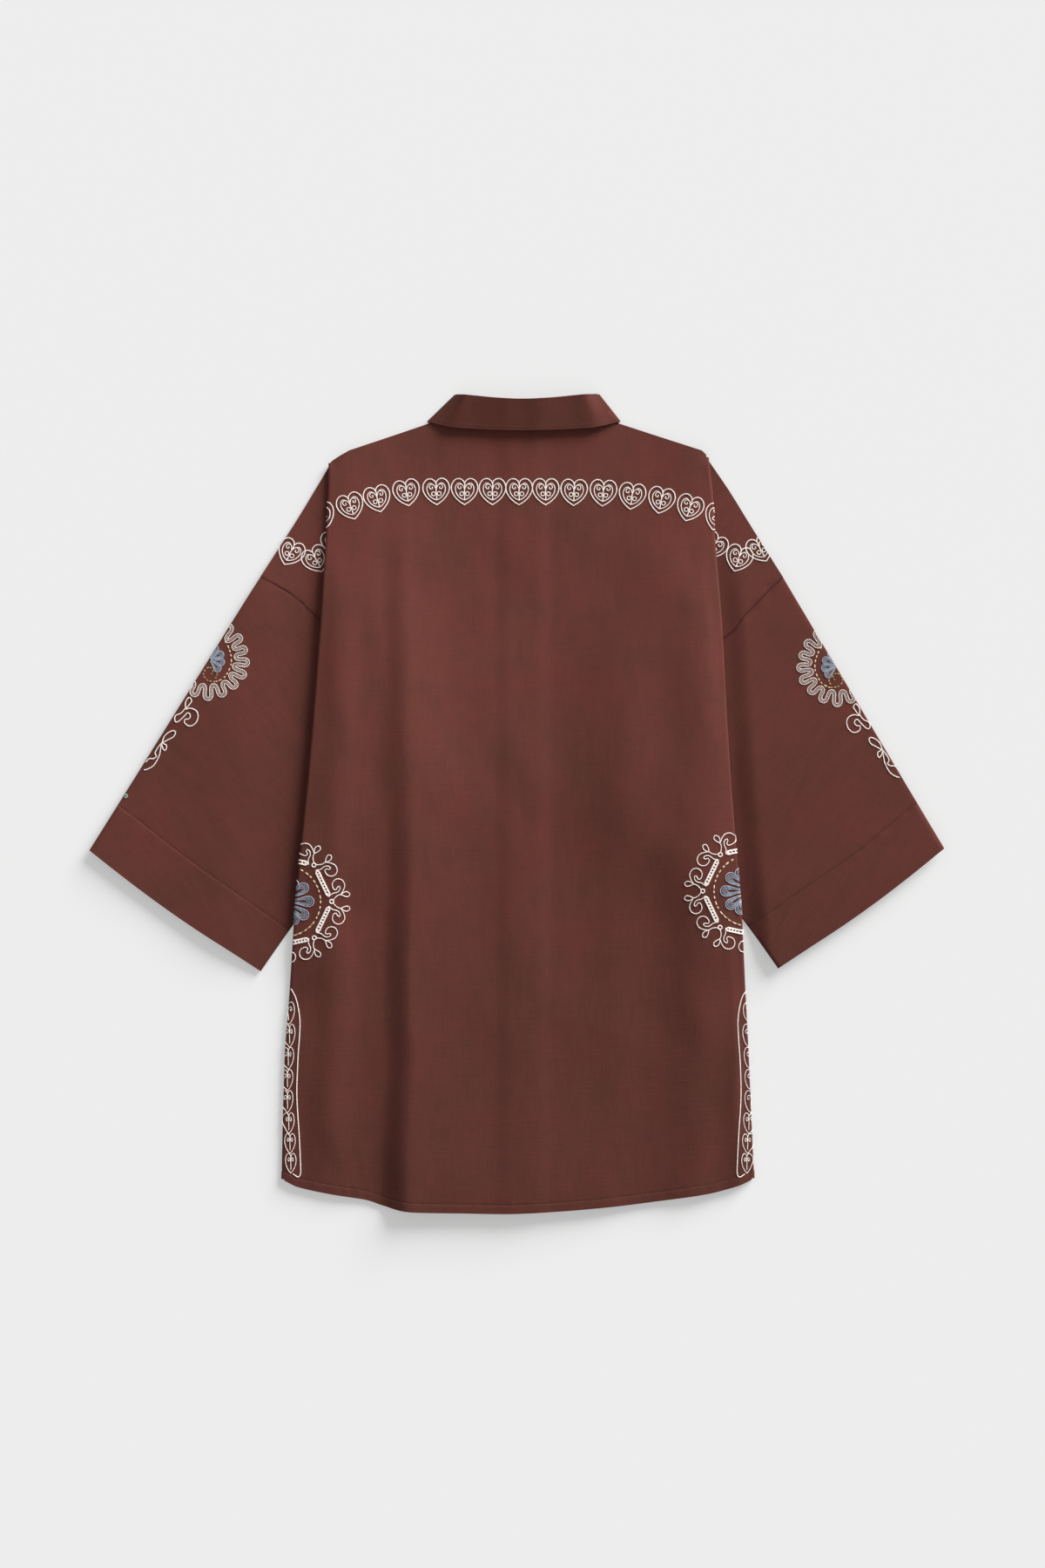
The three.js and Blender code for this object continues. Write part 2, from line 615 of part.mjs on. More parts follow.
const backGrid = bodyGrid(null);
const frontGrid = bodyGrid(FRONT_NECK);
const lastColumn = backGrid[0].length - 1;
const centreColumn = 13 + 9;
addPiece('back', bodyPiece(backGrid, 0, lastColumn, 'back'));
addPiece('front_left', bodyPiece(frontGrid, 0, centreColumn + 1, 'front',
  { cut: { column: centreColumn + 1, x: CENTRE_X + OVERLAP } }));
addPiece('front_right', bodyPiece(frontGrid, centreColumn - 1, lastColumn, 'front',
  { cut: { column: centreColumn - 1, x: CENTRE_X - OVERLAP }, level: (x) => lapRise(x) }));
addPiece('sleeve_left', sleeve(SIDES.left));
addPiece('sleeve_right', sleeve(SIDES.right));
addPiece('collar_stand', neckBand({ back: STAND_BACK, leaf: STAND_LEAF, middle: (WALL + GAP) / 2,
  thickness: WALL, raised: true, rowCount: 2, seam: GAP + 0.15 }));
addPiece('collar_fall', neckBand({ back: FALL_BACK, leaf: FALL_LEAF,
  middle: REST + GAP + COLLAR_WALL / 2, thickness: COLLAR_WALL, raised: false, rowCount: 3, seam: 0 }));

export default group;
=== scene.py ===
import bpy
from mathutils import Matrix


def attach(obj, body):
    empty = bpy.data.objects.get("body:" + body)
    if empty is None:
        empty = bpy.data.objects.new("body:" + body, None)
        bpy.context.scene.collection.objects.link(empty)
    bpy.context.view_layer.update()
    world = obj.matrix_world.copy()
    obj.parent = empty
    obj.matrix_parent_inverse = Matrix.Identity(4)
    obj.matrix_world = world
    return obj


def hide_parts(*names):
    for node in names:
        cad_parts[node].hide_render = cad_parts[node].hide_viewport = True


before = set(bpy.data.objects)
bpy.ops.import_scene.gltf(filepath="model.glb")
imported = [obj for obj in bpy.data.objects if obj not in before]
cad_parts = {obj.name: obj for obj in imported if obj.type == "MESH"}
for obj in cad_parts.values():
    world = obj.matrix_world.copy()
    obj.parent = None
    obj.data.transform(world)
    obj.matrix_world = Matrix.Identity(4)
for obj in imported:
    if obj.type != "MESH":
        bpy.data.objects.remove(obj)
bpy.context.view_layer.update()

import math

import bpy
import numpy as np

# THE BACK
# One piece of matt, reddish brown cotton from shoulder to hem, seen whole. The garment lies
# face down, and its back and front together turn under at each side, from the shoulder end
# down, so that the sleeves swing down beside the body. Sizes are in millimetres on a plan.
WALL = 1.2                      # thickness of one layer
GAP = 0.3                       # between two layers
REST = WALL + GAP / 2           # height of the middle of two layers that lie flat
OUTER = REST - 0.05             # from that middle to the outer face of a layer
INNER = GAP / 2 + 0.1           # and to its inner face
TURN = 1.5                      # radius at which two layers turn over together
STEP = 2 * TURN                 # height that one turn adds
SWING = math.radians(16.5)      # half the angle by which a sleeve swings down
RAMP = 68                       # how far in from a fold the body slopes down
PUFF = 5.2                      # height that the air in a fold adds
CENTRE_X = 601.5
HEM_WIDTH, HEM_ROW = 10.4, 10.2
LAP_FLAT, LAP_END, LAP_RISE = 13.5, 35, 1.5
ORIGIN_X, ORIGIN_Y = 593.4495, 922.2157  # the frame's origin on the plan
TURN_PARTS = 8

BACK_TOP = [(378, 532), (390.7, 523.6), (401.4, 517.5), (497, 485), (520, 488), (560, 489.5),
            (601.5, 490), (643, 489.5), (683, 488), (706, 485), (805.6, 517.7), (812.6, 524)]
HEM = [(322, 1352), (333, 1358), (345, 1363), (380, 1370.5), (420, 1377), (440, 1383.5), (470, 1390),
       (530, 1391.6), (600, 1392), (700, 1385), (800, 1372), (835, 1364.5), (853, 1358.5), (866, 1352)]


class Side:
    """One side of the garment. It folds about the apex, its shoulder end, along an edge that runs
    down to the ridge point at the hem. seam is the armhole down to the pit, over and under are
    the sleeve's two hem corners, and shift moves the folded edge sideways at heights of the plan."""

    def __init__(self, out, apex, ridge, pit, seam, over, under, shift):
        self.out, self.apex, self.ridge, self.pit = out, np.array(apex), np.array(ridge), np.array(pit)
        self.shift = np.array(shift)
        self.ridge_length, self.ridge_angle = (float(v) for v in self.polar(self.ridge))
        marks = self.unfold(np.array(seam))
        below = [marks[-1] + (self.pit - marks[-1]) * k / 5 for k in range(1, 5)]
        self.armhole = curve_through(np.vstack([marks, below, self.pit]))
        self.over_end, self.under_end = self.unfold(np.array(over)), self.unfold(np.array(under))
        valley = self.from_polar(300, self.ridge_angle + SWING)
        cross_r = self.polar(meet(self.pit, self.under_end, self.apex, valley))[0]
        inner = self.from_polar(cross_r, self.ridge_angle - SWING)
        edge = meet(inner, np.array(under), self.apex, self.ridge)
        self.pit_r, pit_angle = self.polar(self.pit)
        tucked = self.from_polar(self.pit_r, 2 * self.ridge_angle - pit_angle)
        self.covered = [(self.apex, inner, edge), (self.apex, tucked, self.ridge)]

    def polar(self, p):
        inward, down = -self.out * (p[..., 0] - self.apex[0]), p[..., 1] - self.apex[1]
        return np.hypot(inward, down), np.arctan2(down, inward)

    def from_polar(self, r, angle):
        return np.stack([self.apex[0] - self.out * r * np.cos(angle),
                         self.apex[1] + r * np.sin(angle)], axis=-1)

    def unfold(self, p):
        r, angle = self.polar(np.asarray(p, float))
        return self.from_polar(r, angle + 2 * SWING)

    def edge_x(self, y):
        share = (y - self.apex[1]) / (self.ridge[1] - self.apex[1])
        return self.apex[0] + (self.ridge[0] - self.apex[0]) * share

    def moved(self, x, y):
        """How far a plan point lies to the right of where the straight folded edge puts it."""
        by = np.interp(y, self.shift[:, 0], self.shift[:, 1])
        return by * (1 - smooth(abs(x - self.edge_x(y)) / 90))


def smooth(v):
    v = np.clip(v, 0, 1)
    return v * v * (3 - 2 * v)


def meet(p, q, s, t):
    d = (q[0] - p[0]) * (t[1] - s[1]) - (q[1] - p[1]) * (t[0] - s[0])
    return p + (q - p) * ((s[0] - p[0]) * (t[1] - s[1]) - (s[1] - p[1]) * (t[0] - s[0])) / d


def curve_through(points, per_span=40):
    """A smooth curve through points, read by fraction of its length."""
    p = np.asarray(points, float)
    ends = np.vstack([2 * p[0] - p[1], p, 2 * p[-1] - p[-2]])
    t = np.linspace(0, 1, per_span, endpoint=False)[:, None]
    spans = [0.5 * (2 * b + (c - a) * t + (2 * a - 5 * b + 4 * c - d) * t ** 2
                    + (3 * b - a - 3 * c + d) * t ** 3)
             for a, b, c, d in zip(ends, ends[1:], ends[2:], ends[3:])]
    fine = np.vstack([*spans, p[-1:]])
    run = np.concatenate([[0], np.cumsum(np.linalg.norm(np.diff(fine, axis=0), axis=1))])
    return lambda f: np.stack([np.interp(np.asarray(f) * run[-1], run, fine[:, k])
                               for k in range(fine.shape[1])], axis=-1)


SIDES = (
    Side(out=-1, apex=(378.2, 528), ridge=(324, 1353), pit=(326, 855),
         seam=[(299, 662.4), (325.5, 678), (340.8, 689), (354, 702.4), (371, 717)],
         over=(103.3, 976), under=(303, 1115),
         shift=[(528, 0), (600, 2.5), (716, 3), (830, 1.6), (900, 0), (965, -2.5), (1041, -5),
                (1139, -5), (1206, -6), (1290, -3), (1353, 0)]),
    Side(out=1, apex=(812.6, 521.5), ridge=(865.5, 1352), pit=(866, 855),
         seam=[(898.5, 662.7), (878, 682), (864.7, 695.3), (851.4, 707.6), (836, 727)],
         over=(1083.6, 973.7), under=(890.4, 1111.5),
         shift=[(521, 0), (567, 2.5), (626, 1.7), (711, 3.3), (826, 2), (905, 2), (980, 3.2),
                (1056, 4.9), (1127, 3.8), (1206, 2.8), (1290, 1), (1352, 0)]),
)
TURN_ANGLES = np.linspace(0, math.pi, 600)
TURN_WIDTHS = STEP * (TURN_ANGLES - np.sin(TURN_ANGLES)) / 2
HEM_FINE = curve_through(HEM)(np.linspace(0, 1, 500))


class Fold:
    """The fold at distances r from the apex, as lengths of cloth measured from the folded edge."""

    def __init__(self, r):
        self.width = r * SWING
        self.turn = np.interp(self.width, TURN_WIDTHS, TURN_ANGLES)
        flat = np.maximum(0, self.width - math.pi * TURN)
        self.a = (self.width - 2 * TURN * self.turn - flat) / 2
        self.b = self.width - self.a
        self.height = STEP * (1 - np.cos(self.turn))

    def station(self, k):
        """Stations 0 to TURN_PARTS are the first turn, then five spans of tucked cloth, then
        the second turn."""
        if k <= TURN_PARTS:
            return self.a + TURN * self.turn * k / TURN_PARTS
        if k >= TURN_PARTS + 5:
            return self.b - TURN * self.turn * (2 * TURN_PARTS + 5 - k) / TURN_PARTS
        first, last = self.a + TURN * self.turn, self.b - TURN * self.turn
        return first + (last - first) * (k - TURN_PARTS) / 5


def fold_middle(r):
    return REST + STEP * (1 - smooth((r - 556) / 70))


def fold_puff(r):
    """Air in the fold: how far the body's folded edge stands above cloth pressed flat."""
    return PUFF * smooth((r - 50) / 130) * (1 - smooth((r - 450) / 150))


def distance_to(x, y, corners):
    best, inside = np.full(x.shape, np.inf), np.zeros(x.shape, bool)
    for (x0, y0), (x1, y1) in zip(corners, corners[1:] + corners[:1]):
        t = np.clip(((x - x0) * (x1 - x0) + (y - y0) * (y1 - y0)) / ((x1 - x0) ** 2 + (y1 - y0) ** 2), 0, 1)
        best = np.minimum(best, np.hypot(x - x0 - (x1 - x0) * t, y - y0 - (y1 - y0) * t))
        inside ^= ((y0 > y) != (y1 > y)) & (x < x0 + (x1 - x0) * (y - y0) / (y1 - y0 or 1e-9))
    return np.where(inside, 0, best)


def lap_rise(x):
    return LAP_RISE * (1 - smooth((abs(x - CENTRE_X) - LAP_FLAT) / (LAP_END - LAP_FLAT)))


def body_height(x, y, side):
    """Height of the middle of the back and front pair: over the folds, the collar and the lap."""
    away = np.hypot(np.maximum(np.maximum(489 - x, x - 714), 0), np.maximum(y - 605, 0))
    neck = 1.8 * (1 - smooth(away / 80))
    near = np.minimum(*(distance_to(x, y, list(c)) for c in side.covered))
    r, _ = side.polar(np.stack([x, y], axis=-1))
    full = fold_middle(r) + Fold(r).height / 2 - REST + fold_puff(r)
    return REST + np.hypot(neck, full * np.exp(-(near / RAMP) ** 2)) + lap_rise(x) + body_drape(x, y)


def body_drape(x, y):
    """Lift of both layers together: the hem stands off the surface along its middle."""
    hem_y = np.interp(x, HEM_FINE[:, 0], HEM_FINE[:, 1])
    middle = 9.5 * smooth((x - 436) / 34) * (1 - 0.75 * smooth((x - 560) / 240))
    ripple = 2.0 * np.exp(-((x - 385) / 30) ** 2)
    return (middle + ripple) * (1 - smooth((hem_y - y) / 190)) ** 1.3 * (1 - smooth((x - 800) / 50))


# Soft lengthwise folds of the back alone: x and y of the upper end, x and y of the lower end,
# height, half width.
BACK_FOLDS = [
    (392, 610, 384, 1330, 4.2, 19),
    (598, 780, 616, 1400, 1.6, 36),
    (800, 600, 800, 1400, 4.6, 30),
    (724, 640, 700, 1400, 1.8, 30),
    (851, 1060, 849, 1400, 3.2, 14),
    (655, 1000, 660, 1400, 1.2, 30),
    (555, 520, 560, 900, 0.9, 32),
    (690, 540, 686, 900, 0.8, 28),
]


def long_fold(x, y):
    """The one deep fold: a sharp rise at its left, easing off over a hand's width to the right."""
    line = np.interp(y, [580, 700, 850, 1000, 1200, 1400], [441, 439, 440, 441, 440, 436])
    line = line + 1.5 * np.sin(y / 37)
    high = np.interp(y, [560, 640, 760, 900, 1050, 1250, 1400], [0, 3.4, 5.6, 6.0, 9.2, 9.8, 5.0])
    wide = np.interp(y, [600, 900, 1400], [27, 31, 34])
    ease = 62
    return high * smooth((x - line) / wide) * np.exp(-np.maximum(0, x - line - wide) / ease)


def back_lift(x, y):
    """Height of the back's own folds: the deep one, the soft ones and a faint unevenness."""
    lift = 0.55 * smooth((y - 540) / 120) + long_fold(x, y)
    for x0, y0, x1, y1, height, half in BACK_FOLDS:
        line = x0 + (x1 - x0) * (y - y0) / (y1 - y0) + 2.5 * np.sin(y / 47 + x0) + 1.5 * np.sin(y / 19 + x1)
        lift = lift + height * np.exp(-((x - line) / half) ** 2) * smooth((y - y0) / 170) \
            * (0.85 + 0.15 * np.sin(y / 61 + x1)) * smooth((y1 - y) / 60 + 0.4)
    lift = lift + 0.5 * np.sin(x / 19 + 1.3 * np.sin(y / 41)) * np.sin(y / 33 + 0.8 * np.sin(x / 37))
    return np.maximum(lift, 0)


def swung_lift(side, p, r):
    """Lift of the swung cloth and sleeve beside the body, nought where it lies beneath it."""
    along = np.clip((r - 300) / 260, 0, 1)
    clear = smooth((length_from_edge(side, p) - 2.03 * r * SWING) / (28 if side.out > 0 else 100))
    wave = 0.5 + 0.5 * np.sin(p[..., 0] / 31 + 2 * np.sin(p[..., 1] / 67))
    wing = smooth((r - 60) / 120)
    return clear * ((4.8 if side.out > 0 else 3.6) * wing + 2.4 * along ** 3 + 1.2 * wave * wing)


def length_from_edge(side, p):
    r, angle = side.polar(p)
    return r * (angle - side.ridge_angle)


def lay(p, offset=0.0, level=None, lift=None):
    """Where points of the flat pattern come to lie, offset above the middle of the two layers.
    level lowers the outer front along the lap and lift raises the back."""
    p = np.asarray(p, float)
    offset = np.broadcast_to(np.asarray(offset, float), p.shape[:-1])
    out = np.empty(p.shape[:-1] + (3,))
    for side, mine in zip(SIDES, (p[..., 0] < CENTRE_X, p[..., 0] >= CENTRE_X)):
        q, o = p[mine], offset[mine]
        if not len(q):
            continue
        x, y = q[:, 0], q[:, 1]
        r, angle = side.polar(q)
        w = r * (angle - side.ridge_angle)
        f = Fold(r)
        turn_length = TURN * f.turn
        flat = (w <= f.a + 1e-9) | (r < 1)
        first, second = w < f.a + turn_length, w < f.b
        tucked = w < f.b - turn_length
        tilt = np.select([flat, first, tucked, second],
                         [0 * w, (w - f.a) / TURN, f.turn, (f.b - w) / TURN], 0)
        run = w - f.a - turn_length
        top = fold_middle(r) + f.height / 2 + fold_puff(r)
        bottom = REST + STEP - f.height / 2 + swung_lift(side, q, r)
        tuck = np.maximum(f.b - turn_length - f.a - turn_length, 1e-6)
        sink = fold_puff(r) * smooth(run / tuck)
        along = np.select([flat, first, tucked, second],
                          [w, f.a + TURN * np.sin(tilt), f.a + TURN * np.sin(tilt) + run * np.cos(tilt),
                           f.b - 2 * f.width - TURN * np.sin(tilt)], w - 2 * f.width)
        z = np.select([first, tucked, second],
                      [top - TURN * (1 - np.cos(tilt)),
                       top - TURN * (1 - np.cos(tilt)) - run * np.sin(tilt) - sink,
                       bottom + TURN * (1 - np.cos(tilt))], bottom)
        z = np.where(flat, body_height(x, y, side), z)
        if level is not None:
            z = z - np.where(flat, level[mine], 0)
        if lift is not None:
            z = z + np.where(flat, lift[mine], 0)
        at = side.ridge_angle + along / np.maximum(r, 1e-6)
        plan = np.where(flat[:, None], q, side.from_polar(r, at))
        push = o * np.sin(tilt)
        px = plan[:, 0] + side.out * push * np.sin(at)
        py = plan[:, 1] + push * np.cos(at)
        px = px + side.moved(plan[:, 0], plan[:, 1])
        out[mine] = np.stack([px - ORIGIN_X, ORIGIN_Y - py, z + o * np.cos(tilt)], axis=-1)
    return out / 1000


def crossing(side, path, k):
    """Fraction along each path at which its cloth reaches station k, or 1 if it never does."""
    def over(t):
        p = path(t)
        return length_from_edge(side, p) - Fold(side.polar(p)[0]).station(k)
    lo = np.zeros_like(path(0.0)[..., 0])
    hi = np.ones_like(lo)
    start, end = over(lo), over(hi)
    rising = end > start
    for _ in range(44):
        mid = (lo + hi) / 2
        below = (over(mid) < 0) == rising
        lo, hi = np.where(below, mid, lo), np.where(below, hi, mid)
    never = np.where(rising, end < 1e-3, start < 1e-3)
    return np.where(never, np.where(rising, 1.0, 0.0), (lo + hi) / 2)


UPPER_ROWS = 46
HEM_ROWS = ((), (0.5,), (0.35, 0.65, 0.82, 0.94), (0.06, 0.16, 0.4, 0.65, 0.85, 0.95))


def side_rows(side):
    """Rows down one side: distance down the folded edge, and the seam point where each ends."""
    first, parts = 4.0, TURN_PARTS
    last_turn = 2 * parts + 5
    turns = [float(crossing(side, side.armhole, k)) for k in range(last_turn, parts + 4, -1)]
    upper = [*(turns[0] * (i / UPPER_ROWS) ** 1.4 for i in range(UPPER_ROWS)), *turns,
             *(turns[-1] + (1 - turns[-1]) * i / 16 for i in range(1, 17))]
    rows = [(first + t * (side.pit_r - first), side.armhole(t)) for t in upper]
    path = lambda t: side.pit + (side.ridge - side.pit) * np.asarray(t)[..., None]
    ends = [float(crossing(side, path, k)) for k in range(parts, parts // 2 - 1, -1)]
    ends[-1] = 1.0
    lower = [ends[0] * i / 60 for i in range(1, 60)] + [ends[0]]
    for shares, a, b in zip(HEM_ROWS, ends, ends[1:]):
        lower += [a + (b - a) * share for share in shares] + [b]
    return rows + [(side.pit_r + t * (side.ridge_length - side.pit_r), path(t)) for t in lower]


SEAM_COLUMNS = (*(i / 12 for i in range(1, 12)), 0.955, 0.975, 0.987, 0.994, 1.0)


def outer_points(side, rows):
    """Flat points of every row from the start of the first turn out to the seam."""
    r = np.array([row[0] for row in rows])
    seam = np.array([row[1] for row in rows])
    edge = side.from_polar(r, side.ridge_angle)
    path = lambda t: edge + (seam - edge) * np.asarray(t)[..., None]
    short = np.linalg.norm(seam - edge, axis=1) < 1e-2
    columns, last = [], np.zeros(len(r))
    for k in range(2 * TURN_PARTS + 6):
        length = Fold(r).station(k)
        reached = np.where(short, 1.0, crossing(side, path, k))
        last = np.where(length > 1e-6, reached, last)
        inner = side.from_polar(r, side.ridge_angle + np.minimum(length, 0) / r)
        columns.append(np.where((length <= 1e-6)[:, None], inner, path(last)))
    columns += [path(last + (1 - last) * f) for f in SEAM_COLUMNS]
    return np.stack(columns, axis=1)


def covered_reach(side, y):
    """How far in from the folded edge the tucked cloth and the sleeve lie under the body."""
    reach = np.zeros_like(y)
    for corners in side.covered:
        for (x0, y0), (x1, y1) in zip(corners, corners[1:] + corners[:1]):
            t = (y - y0) / (y1 - y0 if y1 != y0 else 1e-9)
            inside = (t >= 0) & (t <= 1)
            inward = -side.out * (x0 + (x1 - x0) * t - side.edge_x(y))
            reach = np.where(inside, np.maximum(reach, inward), reach)
    return reach


COLUMNS = (12, 16, 20, 24, 7, 4, 4, 7, 24, 20, 16, 12)


def body_grid(neck=None):
    """Flat points of the body, rows by columns, from the left seam to the right seam."""
    rows = [side_rows(side) for side in SIDES]
    left, right = (outer_points(side, r) for side, r in zip(SIDES, rows))
    ends = left[:, 0], right[:, 0]
    share = [(np.array([r for r, _ in row]) - 4) / (side.ridge_length - 4) for side, row in zip(SIDES, rows)]
    knots = []
    for side, end, neck_x in zip(SIDES, ends, (497.0, 706.0)):
        c1 = side.edge_x(end[:, 1]) - side.out * (covered_reach(side, end[:, 1]) + 7)
        c2 = c1 - side.out * 62
        lap = np.full_like(c1, CENTRE_X + side.out * LAP_END)
        fade = smooth((end[:, 1] - 606) / 150)
        n1 = neck_x + (c2 + (lap - c2) / 3 - neck_x) * fade
        flat_lap = np.full_like(c1, CENTRE_X + side.out * LAP_FLAT)
        knots.append([end[:, 0], c1, c2, n1, lap, flat_lap])
    line = knots[0] + [np.full_like(knots[0][0], CENTRE_X)] + knots[1][::-1]
    xs = [a + (b - a) * i / n for a, b, n in zip(line, line[1:], COLUMNS) for i in range(n)] + [line[-1]]
    x = np.stack(xs[1:-1], axis=1)
    over = (x - ends[0][:, :1]) / (ends[1] - ends[0])[:, :1]
    t = share[0][:, None] + (share[1] - share[0])[:, None] * over
    top = np.interp(x, *np.array(BACK_TOP, float).T)
    y = top + (np.interp(x, HEM_FINE[:, 0], HEM_FINE[:, 1]) - top) * t
    if neck is not None:
        edge = np.where((x >= neck[0, 0]) & (x <= neck[-1, 0]), np.interp(x, neck[:, 0], neck[:, 1]), 0)
        y = np.where(y < edge + 1.5, edge, y)
    return np.concatenate([left[:, ::-1], np.stack([x, y], axis=-1), right], axis=1), left.shape[1]


def make_wall(name, flat, upper, lower, shade=None):
    """A closed wall of cloth from a grid of flat points and its upper and lower face."""
    shape = flat.shape[:2]
    keys = np.round(flat.reshape(-1, 2) * 200).astype(np.int64)
    _, first, ids = np.unique(keys, axis=0, return_index=True, return_inverse=True)
    ids = ids.reshape(shape)
    a, b, c, d = ids[:-1, :-1], ids[:-1, 1:], ids[1:, 1:], ids[1:, :-1]
    tris = np.concatenate([np.stack(t, axis=-1).reshape(-1, 3) for t in ((a, b, c), (a, c, d))])
    tris = tris[(tris[:, 0] != tris[:, 1]) & (tris[:, 1] != tris[:, 2]) & (tris[:, 2] != tris[:, 0])]
    n = len(first)
    directed = np.concatenate([tris[:, [0, 1]], tris[:, [1, 2]], tris[:, [2, 0]]])
    codes, back = directed[:, 0] * n + directed[:, 1], directed[:, 1] * n + directed[:, 0]
    rim = directed[~np.isin(codes, back)]
    faces = np.concatenate([tris, tris[:, ::-1] + n,
                            np.stack([rim[:, 1], rim[:, 0], rim[:, 0] + n], axis=1),
                            np.stack([rim[:, 1], rim[:, 0] + n, rim[:, 1] + n], axis=1)])
    points = np.concatenate([upper.reshape(-1, 3)[first], lower.reshape(-1, 3)[first]])
    weave = np.concatenate([flat.reshape(-1, 2)[first]] * 2)
    shade = np.zeros(len(weave)) if shade is None else np.concatenate([shade.reshape(-1)[first]] * 2)
    return new_mesh(name, points, faces, weave, shade)


def new_mesh(name, points, faces, weave=None, shade=None):
    """A piece from points and triangles. Cloth also keeps where each point lay in the flat cut,
    and how much painted shade darkens it beside seams and stitch rows and over the collar."""
    a, b, c = (points[faces[:, k]] for k in range(3))
    if float((a * np.cross(b, c)).sum()) < 0:
        faces = faces[:, ::-1]
    mesh = bpy.data.meshes.new(name)
    mesh.from_pydata(points.tolist(), [], faces.tolist())
    if weave is not None:
        flat = mesh.attributes.new("cut", "FLOAT_VECTOR", "POINT")
        flat.data.foreach_set("vector", np.column_stack([weave / 1000, np.zeros(len(weave))]).ravel())
        dark = mesh.attributes.new("pressed", "FLOAT", "POINT")
        dark.data.foreach_set("value", np.zeros(len(weave)) if shade is None else shade)
    mesh.shade_smooth()
    mesh.set_sharp_from_angle(angle=math.radians(55))
    piece = bpy.data.objects.new(name, mesh)
    bpy.context.scene.collection.objects.link(piece)
    return piece


class Socket:
    """A value or colour in a material: an expression on sockets adds the Math nodes for it."""

    def __init__(self, tree, socket):
        self.tree, self.socket = tree, socket

    def node(self, kind, settings=None, inputs=None, output=0):
        made = self.tree.nodes.new(kind)
        for key, value in (settings or {}).items():
            if key == "stops":
                ramp = made.color_ramp.elements
                while len(ramp) < len(value):
                    ramp.new(0.5)
                for stop, (at, colour) in zip(ramp, value):
                    stop.position, stop.color = at, colour
            else:
                setattr(made, key, value)
        for key, value in (inputs or {}).items():
            if isinstance(value, Socket):
                self.tree.links.new(value.socket, made.inputs[key])
            else:
                made.inputs[key].default_value = value
        return Socket(self.tree, made.outputs[output])

    def math(self, operation, *values):
        return self.node("ShaderNodeMath", {"operation": operation}, dict(enumerate(values)))

    def __add__(self, other):
        return self.math("ADD", self, other)

    def __radd__(self, other):
        return self.math("ADD", other, self)

    def __sub__(self, other):
        return self.math("SUBTRACT", self, other)

    def __rsub__(self, other):
        return self.math("SUBTRACT", other, self)

    def __mul__(self, other):
        return self.math("MULTIPLY", self, other)

    def __rmul__(self, other):
        return self.math("MULTIPLY", other, self)

    def mix(self, first, second):
        """Mixes two colours by this value."""
        made = self.tree.nodes.new("ShaderNodeMix")
        made.data_type = "RGBA"
        for key, value in ((0, self), (6, first), (7, second)):
            if isinstance(value, Socket):
                self.tree.links.new(value.socket, made.inputs[key])
            else:
                made.inputs[key].default_value = value
        return Socket(self.tree, made.outputs[2])


def srgb(red, green, blue):
    """A colour given as 0 to 255 numbers, as the shader wants it."""
    lin = [(v / 255 / 12.92) if v / 255 <= 0.04045 else ((v / 255 + 0.055) / 1.055) ** 2.4
           for v in (red, green, blue)]
    return (*lin, 1.0)


def new_material(name, **fixed):
    """A material with the numbers that are the same all over set on its shader."""
    material = bpy.data.materials.new(name)
    material.use_nodes = True
    shader = material.node_tree.nodes["Principled BSDF"]
    for key, value in fixed.items():
        shader.inputs[key.replace("_", " ")].default_value = value
    start = Socket(material.node_tree, None)

    def link(key, value):
        material.node_tree.links.new(value.socket, shader.inputs[key])
    return material, start, link


